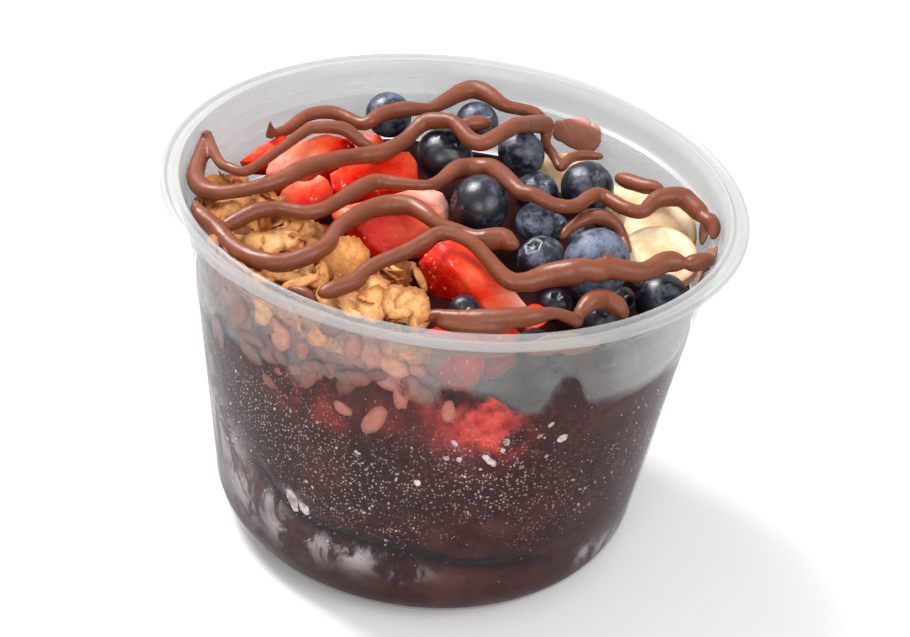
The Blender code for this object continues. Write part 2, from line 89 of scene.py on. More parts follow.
# name: radius, then the turn and rise of the way its crown faces, and how much bloom it has.
BLUEBERRIES = {
    "blueberry_01": (6.0, -60, 65, 0.1),
    "blueberry_02": (5.3, 20, 50, 0.4),
    "blueberry_03": (4.9, -60, 50, 0.75),
    "blueberry_04": (5.7, -60, 50, 0.25),
    "blueberry_05": (4.7, -60, 70, 0.4),
    "blueberry_06": (6.5, -172, 14, 0.12),
    "blueberry_07": (4.1, -95, 40, 0.7),
    "blueberry_08": (2.9, -60, 60, 0.5),
    "blueberry_09": (5.9, -120, 60, 0.75),
    "blueberry_10": (7.0, -40, 10, 0.8),
    "blueberry_11": (4.9, -150, 55, 0.5),
    "blueberry_12": (5.5, -80, 50, 0.3),
    "blueberry_13": (3.4, -90, 70, 0.1),
    "blueberry_14": (2.8, -90, 60, 0.1),
    "blueberry_15": (3.0, -90, 60, 0.1),
    "blueberry_16": (4.2, -90, 70, 0.1),
    "blueberry_17": (3.1, -90, 50, 0.1),
    "blueberry_18": (5.4, -75, 30, 0.2),
    "blueberry_19": (3.8, 90, 40, 0.2),
    "blueberry_20": (4.6, 90, 40, 0.3),
    "blueberry_21": (5.1, -70, 50, 0.6),
}

# name: length, width, the turn and rise of its stalk end and of its main cut face, each cut as
# an offset, turn and rise in the berry's own frame, and how pale it is.
STRAWBERRIES = {
    "strawberry_02": (10, 9, (60, 20), (-120, 10), ((-1, 0, 0),), 0.2),
    "strawberry_08": (5.6, 5.6, (80, 30), (-90, 60), ((0, 0, 0),), 0.1),
    "strawberry_09": (6, 6, (60, 30), (-90, 60), ((0, 0, 0),), 0.1),
    "strawberry_10": (16, 17, (100, 75), (100, 5), ((3, 0, 0),), 0.1),
    "strawberry_11": (12, 11, (60, 65), (100, 10), ((3, 0, 0),), 0.1),
}
# Diced strawberries. name: each corner as x, y, z and how pale it is there.
CHUNKS = {
    "strawberry_01": (
        (-39, 7.5, 71.5, 0.85), (-38.5, 10, 73.5, 0.8), (-35.5, 13.5, 75, 0.7),
        (-28.5, 18.5, 76, 0.45), (-24, 19.5, 75, 0.1), (-22.5, 20, 73.5, 0),
        (-24, 18.5, 73, 0.1), (-31, 11, 73.5, 0.75), (-35, 8.5, 71, 0.9), (-38, 10.5, 66, 0.3),
        (-23, 22, 66, 0.1), (-26, 17, 65, 0.2), (-37, 9.5, 66, 0.3), (-31, 22, 66, 0.3),
    ),
    "strawberry_03": (
        (-45.5, 14.5, 69.5, 0.3), (-42.5, 16.5, 72, 0.45), (-38.5, 20, 73.5, 0.4),
        (-36.5, 21, 73, 0.3), (-39, 16, 71.5, 0.3), (-42, 14, 70, 0.2), (-45, 18, 65, 0.1),
        (-38, 27, 65, 0.1), (-39, 19, 65, 0.1),
    ),
    "strawberry_04": (
        (-35.5, -1.5, 70, 0.2), (-34.5, 0.5, 72, 0.5), (-31.5, 4, 73, 0.75),
        (-28.5, 6, 73.5, 0.6), (-26.5, 4.5, 73, 0.4), (-25, 2.5, 71.5, 0.2), (-26, 1, 70, 0.1),
        (-29.5, -1, 69.5, 0.1), (-36, 2, 64, 0.1), (-28, 3, 64, 0.1), (-29, 8, 65, 0.1),
        (-35, 6, 65, 0.1),
    ),
    "strawberry_05": (
        (-26, 10.5, 71.5, 0.35), (-22, 14.5, 72.5, 0.3), (-16, 18.5, 73, 0.3),
        (-11.5, 21.5, 73, 0.45), (-9.5, 20, 71.5, 0.5), (-8.5, 16, 69, 0.3),
        (-11.5, 10.5, 70, 0.15), (-22.5, 7.5, 69, 0.05), (-25, 7.5, 69.5, 0.1),
        (-23.5, 9.5, 63.5, 0.1), (-9.5, 13, 63.5, 0.1), (-11, 21, 65, 0.1),
        (-20, 16.5, 64.5, 0.1),
    ),
    "strawberry_06": (
        (-24, -5, 70.5, 0.5), (-22.5, -4, 72, 0.7), (-18.5, -1.5, 73, 0.65),
        (-14, 1.5, 73.5, 0.75), (-7, 5.5, 73.5, 0.95), (-3, 6, 72.5, 1), (-1.5, 3.5, 71.5, 1),
        (-1, 2, 69.5, 0.95), (-19, -8, 71, 0), (-14.5, -6, 73, 0.15), (-9.5, -4, 73, 0.35),
        (-4.5, -5, 72, 0.6), (-15.5, -10, 65.5, 0.1), (-11.5, -10.5, 65.5, 0.25),
        (-6.5, -7.5, 67, 0.3), (-4, -5.5, 69.5, 0.5), (-18, -2, 63.5, 0.1),
        (-4, 2, 63.5, 0.2), (-5, -5, 63.5, 0.2), (-12, 4, 65, 0.2),
    ),
    "strawberry_07": (
        (-5, -21, 71.5, 0), (-2, -19.5, 75.5, 0.2), (0.5, -19, 76, 0.3),
        (4, -20.5, 75.5, 0.3), (1.5, -27, 75, 0.2), (5.5, -27, 74, 0.4), (-4.5, -22, 69, 0),
        (-2.5, -24, 67, 0), (1.5, -24.5, 66.5, 0), (6.5, -28, 70, 0.15),
        (16, -27, 68.5, 0.9), (13, -26.5, 71.5, 0.75), (9.5, -25.5, 73.5, 0.5),
        (8.5, -29, 68, 0.6), (-2, -16, 68, 0.1), (7, -17, 68, 0.1), (13, -22, 66, 0.3),
        (3, -22, 65.5, 0.1),
    ),
}

# name: radius, thickness, then the turn and rise of the way its face looks.
BANANAS = {
    "banana_01": (7.6, 3.2, -105, 58),
    "banana_02": (8, 3.2, -105, 58),
    "banana_03": (7, 3.6, -90, 72),
    "banana_04": (6.2, 3.4, -100, 62),
}

# The strands of spread, from left to right: x, y, z and thickness at each point.
STRANDS = (
    (
        (-40, 19.5, 74, 1.5), (-37, 23, 74, 2.1), (-33.5, 29.5, 74.5, 2.2), (-28.5, 32, 74.5, 2.4),
        (-22.5, 29.5, 74, 2.4), (-20.5, 29.5, 74.5, 2.5), (-18.5, 32.5, 75, 2.7),
        (-16, 35, 75, 2.8), (-13, 37, 75, 2.9), (-8.5, 39.5, 74.5, 2), (-6.5, 41.5, 74.5, 2.5),
        (-2, 48, 75, 3.4), (1, 49.5, 75.5, 3.5), (4, 48, 75.5, 3.3), (6.5, 46, 75, 2.8),
        (9, 45, 74.5, 2.4), (14, 45, 74, 2.2), (17, 43.5, 73.5, 2.4),
    ),
    (
        (-52, 10.5, 77, 1.8), (-52, 6, 76.5, 2.5), (-52, -3.5, 75.5, 3), (-50.5, -8, 75.5, 3.2),
        (-48, -11, 76, 2.9), (-43, -11.5, 77, 2.3), (-35.5, -7.5, 78, 2.6), (-31.5, -2.5, 78.5, 3),
        (-27, 4, 77.5, 3), (-24.5, 8, 76.5, 3), (-22, 11.5, 75.5, 2.9), (-16.5, 15.5, 75, 3.1),
        (-12.5, 20.5, 75.5, 2.8), (-10.5, 24, 76.5, 2.7), (-9, 26, 77.5, 2.9), (-7, 26, 78.5, 3.1),
        (-2.5, 24.5, 79.5, 2.6), (1.5, 20.5, 78, 2.9), (4, 19.5, 78, 2.9), (6, 21, 78.5, 2.9),
        (9.5, 24.9, 79.4, 2.9), (11.5, 27.9, 79, 3.1), (16.5, 37.5, 75, 3.5),
        (18.5, 39.5, 73.5, 3.7),
    ),
    (
        (-52, 10.5, 77, 1.8), (-51, 7, 77, 2), (-47.5, -1.5, 77.5, 1.7), (-45, -4, 78, 1.8),
        (-43, -5, 78, 1.8), (-41, -3.5, 78, 1.7), (-37.5, 4, 78, 1.6), (-36, 8.5, 77.5, 1.7),
        (-32.5, 15.5, 78, 2), (-30.5, 17.5, 78, 2.1), (-25, 18.5, 78, 2.4), (-21, 17.5, 76, 2.1),
        (-19, 17.5, 75, 1.7), (-17, 17, 75, 1.5),
    ),
    (
        (-44.5, -21, 74, 2.3), (-42.5, -20, 74.5, 2.6), (-38.5, -17, 76, 2.7),
        (-34, -15, 76.5, 2.4), (-29, -15.5, 76.5, 2.4), (-26.5, -14.5, 76.5, 2.5),
        (-24.5, -12.5, 76.5, 2.5), (-21, -5.5, 76, 2.8), (-17.5, 0, 76, 2.8), (-15, 1.5, 76, 2.6),
        (-7.5, 1, 76.5, 1.8), (-4, 4, 76, 2.2), (-0.5, 11.5, 75.5, 3.2), (1.5, 13.5, 75, 3.4),
        (4, 14, 75, 3.7), (7, 12.5, 76, 3.5), (11, 3.5, 78, 2.9), (13, 0.5, 78, 2.8),
        (15.5, -1, 78.5, 2.6), (19.5, -2, 77.5, 2.4), (22, -1.5, 77, 2.3), (24.5, 1.5, 76, 2.4),
        (26.5, 5.5, 75.5, 2.5), (28.5, 8, 75.5, 2.5), (30.5, 8, 75, 2.5), (34.5, 4.5, 75, 2.5),
        (38, 4, 75, 2.4), (41, 8, 76, 3.2), (45.5, 9.5, 76.5, 3.5), (47.5, 8.5, 76, 3.5),
        (51, 4, 75, 3.2),
    ),
    (
        (32.5, 18.5, 74.5, 2.3), (34.5, 17.5, 74.5, 2.8), (38.5, 14, 75.5, 2.7),
        (40.5, 13, 76, 2.5), (42.5, 11.5, 76, 2.5),
    ),
    (
        (-49.5, -17, 75.5, 2.7), (-48.5, -18.5, 75, 3.2), (-44.5, -22, 74, 3.1),
        (-40, -27.5, 73.5, 3.2), (-35, -31, 74, 3.2), (-30, -31.5, 74.5, 3.1),
        (-23.5, -27, 76, 2.8), (-21.5, -19, 76, 2.7), (-18, -11.5, 75.5, 3.1),
        (-13.5, -7, 75.5, 3.4), (-8.5, -7, 76, 3.3), (-4.5, -10.5, 76, 2.8),
        (-2.5, -12, 75.5, 2.4), (2.5, -13.5, 75, 2.4), (4.5, -14.5, 75, 2.7), (6.5, -15, 75, 3.7),
        (10, -14.5, 75.5, 3.7), (12, -16, 75.5, 2.9), (13.5, -16.5, 75.5, 2.3),
    ),
    (
        (-22.5, -42, 75, 2.6), (-16.5, -37, 75.5, 2.8), (-15.5, -35, 76, 2.6),
        (-12.5, -31.5, 77, 2.3), (-8.5, -28, 77.5, 2.4), (-4.5, -24, 78.5, 2.3),
        (-1.5, -21.5, 79.3, 2.2), (4.5, -23, 78.5, 2.3), (11.5, -28.5, 75, 2.9),
        (15.5, -28, 74.5, 3.2), (19.5, -25.5, 75, 4), (24, -25.5, 76.5, 4.3), (26, -25, 77, 3.7),
        (28.5, -24.5, 76.5, 3.6), (30.5, -22.5, 76.5, 3.9), (37.5, -20, 75, 3.3),
        (42, -16, 75.5, 3.6), (44, -15.5, 75.5, 3.7), (46, -16, 75.5, 3.5),
    ),
    (
        (-2.5, -42, 73, 2.2), (-0.5, -42, 73.5, 2.2), (2.5, -43, 74, 2.6), (9.5, -43.5, 75, 3.4),
        (16.5, -42.5, 76, 2.9), (21, -39.5, 75.5, 1.8), (24.5, -37.5, 73.5, 2),
        (25.5, -36, 72, 1.9), (26, -33, 72, 2.2), (28, -30, 73, 3.2), (31, -27.5, 72.5, 3.3),
        (34, -29, 71.5, 2.8), (35, -30, 70.5, 2.5),
    ),
)
# Thinner dribbles that run off them, in the same terms.
DRIBBLES = (
    (
        (21.9, -3.7, 70.6, 1.4), (23.6, -0.6, 71.6, 1.8), (26.6, 2.2, 72.6, 2.3),
        (29.7, 3, 73, 2.6), (32.8, 2.6, 72, 2.4), (34.8, 0.8, 70, 1.8), (36, -4, 69.6, 1.6),
    ),
    ((-1.4, 25.5, 78.5, 2.4), (1.1, 26.7, 78.5, 2.8), (3.7, 27.8, 78.5, 2.6), (5.6, 29, 78.3, 1.9)),
    (
        (18, 39.4, 73.4, 2.4), (17.8, 35.7, 71.6, 1.8), (19.2, 32.7, 71, 1.8),
        (20.3, 29.4, 71, 1.6), (21.5, 26.8, 70.6, 1.6), (23.5, 31.2, 71, 1.8),
        (26.9, 33.3, 71, 1.8), (30.7, 33.9, 70.8, 1.3),
    ),
    (
        (-3.6, -43.8, 72.8, 0.8), (-2.3, -42.8, 73.2, 1.3), (-0.9, -42, 73.6, 1.8),
        (1.1, -41.5, 73.8, 2),
    ),
    ((-0.5, -43.6, 72.8, 1.4), (3, -44.6, 73.2, 2), (8, -45, 73.8, 2), (13, -44.8, 74.4, 1.6)),
    ((49.5, 5, 75.2, 3), (51.4, 3.4, 75.2, 3), (52.6, 1.6, 74.6, 2.4), (52.5, -1, 73.4, 1.6)),
    (
        (46, -16, 75.5, 3.4), (48.6, -14.4, 75.4, 3.1), (50.7, -12.2, 74.8, 2.5),
        (51.8, -9.6, 73.8, 1.6),
    ),
    ((-28.8, -38, 73, 1.2), (-25.8, -39.1, 73.2, 1.7), (-22.8, -40.9, 73, 1.2)),
)
# Where a strand was pulled off in a point: its foot, its tip, and the foot's thickness.
PEAKS = (
    ((-40, 19.5, 74), (-40.3, 18.2, 78), 2.4),
    ((-52, 10, 77), (-52.5, 6.4, 79.4), 2.2),
    ((30.4, -22.6, 77), (30.2, -22.2, 79.9), 2.6),
    ((-49.5, -17, 75.5), (-50.4, -16.4, 76.6), 2.8),
)
# Spread on the inner wall: turn, height, half width, half height, thickness.
SMEARS = {
    "smear_01": ((60.5, 69.9, 5.4, 3.9, 0.9), (65, 69.4, 2.8, 2.6, 0.9), (57, 71, 2.6, 2.2, 0.8)),
    "smear_02": ((-9, 71, 4.6, 5, 1.4), (-14, 69.5, 2.4, 4, 1), (6, 72, 3.4, 3.6, 1.2)),
    "smear_03": ((-92, 73.5, 8, 3, 1.6), (-80, 73.2, 7, 1.8, 1.2)),
    "smear_04": ((-66, 74, 5.5, 3, 1.6), (-59.5, 72, 4.5, 1.6, 1)),
}


def linear(red, green, blue):
    """A display colour of 0 to 255 as the linear numbers that shaders use."""
    return tuple(
        ((c / 255 + 0.055) / 1.055) ** 2.4 if c > 10 else c / 3294 for c in (red, green, blue)
    )


# --- sizes and colours that a user may change ---


class TubSettings(bpy.types.PropertyGroup):
    steps: IntProperty(
        name="Steps", description="Segments round the tub", default=288, min=48, max=512
    )
    haze: FloatProperty(
        name="Haze", description="How milky the plastic is", default=0.008, min=0, max=1,
        subtype="FACTOR",
    )
    mist: FloatProperty(
        name="Mist", description="How much milkier it is where nothing wets it", default=0.42,
        min=0, max=1, subtype="FACTOR",
    )
    colour: FloatVectorProperty(
        name="Colour", description="The milky part of the plastic", subtype="COLOR",
        default=linear(190, 190, 188), min=0, max=1,
    )


class AcaiSettings(bpy.types.PropertyGroup):
    colour: FloatVectorProperty(
        name="Colour", description="The frozen puree", subtype="COLOR",
        default=linear(46, 19, 18), min=0, max=1,
    )
    frost: FloatVectorProperty(
        name="Frost", description="Ice and air on its surface", subtype="COLOR",
        default=linear(156, 148, 148), min=0, max=1,
    )
    blob_count: IntProperty(
        name="Blobs", description="Loose air bubbles on the wall", default=7000, min=0, max=9000
    )


class GranolaSettings(bpy.types.PropertyGroup):
    colour: FloatVectorProperty(
        name="Colour", description="Toasted oats", subtype="COLOR",
        default=linear(216, 152, 88), min=0, max=1,
    )
    flakes: IntProperty(
        name="Flakes", description="Oat flakes on the heap", default=760, min=0, max=2000
    )
    wall_flakes: IntProperty(
        name="Wall flakes", description="Oat flakes pressed to the wall", default=420, min=0,
        max=1000,
    )


class FruitSettings(bpy.types.PropertyGroup):
    blueberry: FloatVectorProperty(
        name="Blueberry", description="Blueberry skin", subtype="COLOR",
        default=linear(28, 30, 40), min=0, max=1,
    )
    bloom: FloatVectorProperty(
        name="Bloom", description="Pale wax on the blueberries", subtype="COLOR",
        default=linear(96, 105, 126), min=0, max=1,
    )
    strawberry: FloatVectorProperty(
        name="Strawberry", description="Strawberry between its skin and core", subtype="COLOR",
        default=linear(230, 52, 20), min=0, max=1,
    )
    banana: FloatVectorProperty(
        name="Banana", description="Cut banana", subtype="COLOR",
        default=linear(230, 206, 168), min=0, max=1,
    )


class SpreadSettings(bpy.types.PropertyGroup):
    colour: FloatVectorProperty(
        name="Colour", description="Chocolate spread", subtype="COLOR",
        default=linear(118, 63, 40), min=0, max=1,
    )
    voxel: FloatProperty(
        name="Voxel", description="How finely the strands are melted together",
        default=0.38 * MM, min=0.2 * MM, max=2 * MM, unit="LENGTH", precision=5,
    )


class StageSettings(bpy.types.PropertyGroup):
    floor: FloatVectorProperty(
        name="Floor", description="The pale floor", subtype="COLOR",
        default=(0.86, 0.86, 0.87), min=0, max=1,
    )
    lens: FloatProperty(
        name="Lens", description="The camera's focal length in millimetres", default=79.12,
        min=20, max=300,
    )


# --- material nodes ---


class Finish:
    """One material's node tree. Each call adds a node and returns its output."""

    def __init__(self, name):
        self.material = bpy.data.materials.new(name)
        self.material.use_nodes = True
        self.tree = self.material.node_tree
        self.tree.nodes.clear()
        self.at = self.node("TexCoord").outputs["Object"]

    def node(self, kind, inputs=(), **settings):
        node = self.tree.nodes.new("ShaderNode" + kind)
        for key, value in settings.items():
            setattr(node, key, value)
        for key, value in dict(inputs).items():
            if isinstance(value, bpy.types.NodeSocket):
                self.tree.links.new(value, node.inputs[key])
            else:
                node.inputs[key].default_value = value
        return node

    def attribute(self, name):
        return self.node("Attribute", attribute_name=name).outputs["Fac"]

    def vector(self, name):
        return self.node("Attribute", attribute_name=name).outputs["Vector"]

    def noise(self, scale, detail=3.0, roughness=0.5, at=None, distortion=0.0):
        inputs = {"Scale": scale, "Detail": detail, "Roughness": roughness}
        inputs |= {"Distortion": distortion, "Vector": at or self.at}
        return self.node("TexNoise", inputs).outputs["Fac"]

    def cells(self, scale, output="Distance"):
        inputs = {"Scale": scale, "Vector": self.at}
        return self.node("TexVoronoi", inputs).outputs[output]

    def scaled(self, x, y, z):
        inputs = {"Vector": self.at, "Scale": (x, y, z)}
        return self.node("Mapping", inputs).outputs["Vector"]

    def math(self, operation, *values):
        inputs = dict(enumerate(values))
        return self.node("Math", inputs, operation=operation).outputs[0]

    def span(self, value, low, high, to_low=0.0, to_high=1.0):
        inputs = {"Value": value, "From Min": low, "From Max": high}
        inputs |= {"To Min": to_low, "To Max": to_high}
        return self.node("MapRange", inputs, interpolation_type="SMOOTHSTEP").outputs[0]

    def ramp(self, factor, *stops):
        node = self.node("ValToRGB", {"Fac": factor})
        elements = node.color_ramp.elements
        while len(elements) < len(stops):
            elements.new(0.5)
        for element, (place, colour) in zip(elements, stops):
            element.position = place
            element.color = (*colour, 1)
        return node.outputs["Color"]

    def mix(self, factor, first, second, blend="MIX"):
        node = self.node("Mix", data_type="RGBA", blend_type=blend, clamp_factor=True)
        for index, value in ((0, factor), (6, first), (7, second)):
            if isinstance(value, bpy.types.NodeSocket):
                self.tree.links.new(value, node.inputs[index])
            else:
                node.inputs[index].default_value = (*value, 1) if index else value
        return node.outputs[2]

    def bump(self, height, strength, distance):
        inputs = {"Height": height, "Strength": strength, "Distance": distance}
        return self.node("Bump", inputs).outputs["Normal"]

    def principled(self, **inputs):
        return self.node("BsdfPrincipled", inputs).outputs["BSDF"]

    def blend(self, factor, first, second):
        return self.node("MixShader", {0: factor, 1: first, 2: second}).outputs[0]

    def done(self, shader):
        self.node("OutputMaterial", {"Surface": shader})
        return self.material


# --- shapes ---


def direction(turn, rise):
    """The unit vector at these degrees round +Z from +X, and above the horizon."""
    flat = math.cos(math.radians(rise))
    turn = math.radians(turn)
    return Vector((flat * math.cos(turn), flat * math.sin(turn), math.sin(math.radians(rise))))


def facing(turn, rise, roll=0):
    """The rotation that points +Z in a direction, after a roll about it."""
    aim = direction(turn, rise).to_track_quat("Z", "Y").to_matrix()
    return aim @ Matrix.Rotation(math.radians(roll), 3, "Z")


def lying(stalk, face):
    """The rotation that points +Z to the stalk's direction and +X near the face's."""
    up = direction(*stalk)
    side = up.cross(direction(*face)).normalized()
    return Matrix((side.cross(up), side, up)).transposed()


def wall_radius(z):
    """Radius of the tub's inner wall at a height, in millimetres."""
    if z < FOOT_FILLET:
        reach = FOOT_FILLET - WALL
        return FOOT_RADIUS - FOOT_FILLET + math.sqrt(max(reach**2 - (FOOT_FILLET - z) ** 2, 0))
    return FOOT_RADIUS - WALL + (z - FOOT_FILLET) * TAPER


def on_wall(turn, z, depth=0.0):
    """A point this deep inside the inner wall."""
    radius = wall_radius(z) - depth
    turn = math.radians(turn)
    return Vector((radius * math.cos(turn), radius * math.sin(turn), z)) * MM


def clamp(value):
    """A value, kept from 0 to 1."""
    return min(1, max(0, value))


def ease(t):
    """A share of 0 to 1 that starts and ends gently."""
    return t * t * (3 - 2 * t)


def along(table, turn, eased=False):
    """The value at a turn of a table of (turn, value), straight or eased between its rows."""
    turn = (turn + 180) % 360 - 180
    i = min(bisect.bisect_right(table, turn, key=lambda row: row[0]), len(table) - 1)
    (start, first), (end, last) = table[i - 1], table[i]
    t = (turn - start) / (end - start)
    return first + (last - first) * (ease(t) if eased else t)


def wet_height(turn):
    """How high the acai wets the wall at a turn, in millimetres."""
    return along(WET_LINE, turn, eased=True)


def wave(point, size, seed=0):
    """Smooth noise of -1 to 1 at a point, with bumps of this size in metres."""
    return noise.noise(point / size + Vector((seed * 7.3, seed * 3.1, seed * 5.7)))


def curve_through(points):
    """Points about a millimetre apart on a smooth curve through the given ones."""
    ends = [2 * points[0] - points[1], *points, 2 * points[-1] - points[-2]]
    line = []
    for before, start, end, after in zip(ends, ends[1:], ends[2:], ends[3:]):
        count = max(1, round((end - start).length))
        for i in range(count):
            t = i / count
            line.append(
                (2 * t**3 - 3 * t**2 + 1) * start
                + (t**3 - 2 * t**2 + t) * (end - before) / 2
                + (3 * t**2 - 2 * t**3) * end
                + (t**3 - t**2) * (after - start) / 2
            )
    return [*line, points[-1]]


def mesh_of(bm, name, crease=40):
    """Turns a bmesh into a mesh with its faces outwards and shaded smooth."""
    bmesh.ops.recalc_face_normals(bm, faces=bm.faces)
    if bm.calc_volume(signed=True) < 0:
        bmesh.ops.reverse_faces(bm, faces=bm.faces)
    data = bpy.data.meshes.new(name)
    bm.to_mesh(data)
    bm.free()
    data.shade_smooth()
    data.set_sharp_from_angle(angle=math.radians(crease))
    return data


def spun(profile, steps):
    """A bmesh spun round +Z from a section of (radius, height) in millimetres."""
    bm = bmesh.new()
    line = [bm.verts.new((radius * MM, 0, z * MM)) for radius, z in profile]
    edges = [bm.edges.new(pair) for pair in zip(line, line[1:])]
    bmesh.ops.spin(
        bm, geom=line + edges, cent=(0, 0, 0), axis=(0, 0, 1), angle=math.tau, steps=steps,
        use_merge=True,
    )
    bmesh.ops.remove_doubles(bm, verts=bm.verts, dist=0.005 * MM)
    return bm


def cut_off(bm, place, normal, slack=0.0):
    """Cuts away what lies beyond a plane, and returns the faces that close the cut.

    A point that is no further than the slack from the plane counts as on it.
    """
    cut = bmesh.ops.bisect_plane(
        bm, geom=bm.verts[:] + bm.edges[:] + bm.faces[:], dist=slack, plane_co=place,
        plane_no=normal, clear_outer=True,
    )
    rim = [item for item in cut["geom_cut"] if isinstance(item, bmesh.types.BMEdge)]
    return bmesh.ops.edgeloop_fill(bm, edges=rim)["faces"]


def ringed(bm, faces, rings):
    """Splits a flat round face into rings, so that it can be shaped and coloured."""
    centre = bmesh.ops.poke(bm, faces=faces)["verts"][0]
    bmesh.ops.subdivide_edges(bm, edges=centre.link_edges[:], cuts=rings)


def smoothed(bm, times=1):
    """Evens out a bmesh's surface."""
    for _ in range(times):
        bmesh.ops.smooth_vert(
            bm, verts=bm.verts, factor=0.5, use_axis_x=True, use_axis_y=True, use_axis_z=True
        )


def add_piece(name, data, slot, finishes, *replaced):
    """Adds a piece that rides on the bowl and stands for the named solids."""
    for finish in finishes:
        data.materials.append(finish)
    piece = bpy.data.objects.new(name, data)
    bpy.context.scene.collection.objects.link(piece)
    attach(piece, "root")
    if replaced:
        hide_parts(*replaced)


def stamp(bm, data, matrix):
    """Adds a transformed copy of a mesh to a bmesh."""
    copy = data.copy()
    copy.transform(matrix)
    bm.from_mesh(copy)
    bpy.data.meshes.remove(copy)


def pebble(size, finish=0):
    """A small flattened ball to stamp many times, with its half sizes in millimetres."""
    bm = bmesh.new()
    bmesh.ops.create_uvsphere(bm, u_segments=6, v_segments=4, radius=MM)
    bmesh.ops.scale(bm, verts=bm.verts, vec=size)
    for face in bm.faces:
        face.material_index = finish
    return mesh_of(bm, "pebble")


def middle_of(name):
    """The middle of a node's box."""
    low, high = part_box(name)
    return (Vector(low) + Vector(high)) / 2


def centred(bm):
    """Moves a bmesh so that its box is centred on the origin."""
    low = Vector([min(v.co[i] for v in bm.verts) for i in range(3)])
    high = Vector([max(v.co[i] for v in bm.verts) for i in range(3)])
    bmesh.ops.translate(bm, verts=bm.verts, vec=-(low + high) / 2)


def evaluated(context, piece):
    """The mesh that a helper object gives once its modifiers have run. The object goes."""
    context.scene.collection.objects.link(piece)
    context.view_layer.update()
    graph = context.evaluated_depsgraph_get()
    data = bpy.data.meshes.new_from_object(piece.evaluated_get(graph))
    bpy.data.objects.remove(piece)
    return data


def melt(context, data, voxel):
    """Remeshes a mesh's touching parts into one skin."""
    piece = bpy.data.objects.new("melting", data)
    remesh = piece.modifiers.new("melt", "REMESH")
    remesh.mode = "VOXEL"
    remesh.voxel_size = voxel
    return evaluated(context, piece)


# --- the tub ---


# How misty the tub's dry wall is: turn, then the share from 0 to 1.
MIST = (
    (-180, 0.8), (-166, 0.9), (-154, 0.6), (-146, 0.25), (-96, 0.25), (-90, 0.3), (-76, 0.28),
    (-71, 0.2), (-52, 0.25), (-46, 0.5), (-35, 0.75), (-20, 0.7), (0, 0.8), (30, 0.8), (180, 0.8),
)


def clear_plastic(settings):
    """Clear plastic, a little grey, misty where nothing wets it, and milkier at grazing angles as
    painted reflection.
    """
    f = Finish("clear_plastic")
    patches = f.span(f.noise(1, 4, 0.6, f.scaled(24, 24, 260)), 0.3, 0.7, 0.82, 1.14)
    haze = f.math("MULTIPLY_ADD", f.attribute("mist"), settings.mist, settings.haze)
    haze = f.math("MULTIPLY", haze, patches)
    height = f.node("SeparateXYZ", {"Vector": f.at}).outputs["Z"]
    haze = f.math("ADD", haze, f.span(height, 76.5 * MM, 77.8 * MM, 0.0, 0.16))
    edge = f.node("LayerWeight", {"Blend": 0.5}).outputs["Facing"]
    # Milkier towards grazing angles: painted reflection.
    haze = f.math("MAXIMUM", haze, f.span(edge, 0.82, 1.0, 0.0, 0.3))
    scratches = f.noise(1, 4, 0.6, f.scaled(60, 60, 900))
    normal = f.bump(scratches, 0.05, 0.0002)
    milk = f.principled(
        **{"Base Color": (*settings.colour, 1), "Roughness": 0.4, "Normal": normal}
    )
    tint = f.mix(f.attribute("mist"), linear(250, 250, 250), linear(202, 204, 204))
    clear = f.node("BsdfTransparent", {"Color": tint}).outputs[0]
    body = f.blend(haze, clear, milk)
    gloss = f.node("BsdfGlossy", {"Roughness": 0.12, "Normal": normal}).outputs[0]
    shine = f.math("MULTIPLY_ADD", f.math("POWER", edge, 5.0), 0.42, 0.007)
    return f.done(f.blend(shine, body, gloss))


def tub_profile():
    """The tub's section as (radius, height), from its floor up the inside and down the outside."""
    centre = FOOT_RADIUS - FOOT_FILLET
    quarter = [math.radians(-90 + 90 * i / 10) for i in range(11)]
    rows = [FOOT_FILLET + (LEDGE_HEIGHT - FOOT_FILLET) * i / 38 for i in range(1, 39)]
    reach = FOOT_FILLET - WALL
    inside = [(radius, WALL) for radius in (0, 12, 24)]
    inside += [(centre + reach * math.cos(a), FOOT_FILLET + reach * math.sin(a)) for a in quarter]
    inside += [(wall_radius(z), z) for z in rows]
    step = wall_radius(LEDGE_HEIGHT) + LEDGE
    rim = [
        (step - 0.3, LEDGE_HEIGHT + 0.5), (step, LEDGE_HEIGHT + 1.2), (step + 0.15, 75.8),
        (step + 0.4, 77.2), (step + 1.0, 78.3), (step + 1.4, 78.9), (step + 1.8, TUB_HEIGHT),
        (step + 2.2, 78.8), (step + 2.5, 78.45), (step + 3.6, 78.4), (step + 3.9, 78.75),
        (step + 4.3, TUB_HEIGHT), (step + 4.8, 78.9), (RIM_RADIUS, 78.4), (RIM_RADIUS, 77.7),
        (RIM_RADIUS - 0.3, 77.3), (RIM_RADIUS - 0.8, 77.3), (RIM_RADIUS - 1.1, 77.6),
        (step + 1.9, 77.6), (step + 1.4, 77.1), (step + WALL + 0.15, 75.8),
        (step + WALL, LEDGE_HEIGHT + 1.2), (step + WALL - 0.3, LEDGE_HEIGHT + 0.5),
    ]
    outside = [(wall_radius(z) + WALL, z) for z in reversed(rows)]
    outside += [
        (centre + FOOT_FILLET * math.cos(a), FOOT_FILLET + FOOT_FILLET * math.sin(a))
        for a in reversed(quarter)
    ]
    return [*inside, *rim, *outside, (24, 0), (12, 0), (0, 0)]


class BOWL_OT_tub(bpy.types.Operator):
    """Turns the clear tub with its ledge and rolled rim"""

    bl_idname = "bowl.tub"
    bl_label = "Tub"

    def execute(self, context):
        settings = context.scene.bowl_tub
        bm = spun(tub_profile(), settings.steps)
        mist = bm.verts.layers.float.new("mist")
        for vertex in bm.verts:
            turn = math.degrees(math.atan2(vertex.co.y, vertex.co.x))
            above = vertex.co.z / MM - wet_height(turn)
            vertex[mist] = along(MIST, turn) * clamp(above * 2)
        data = mesh_of(bm, "tub", 30)
        add_piece("clear_tub", data, "clear_plastic", [clear_plastic(settings)], "tub")
        return {"FINISHED"}
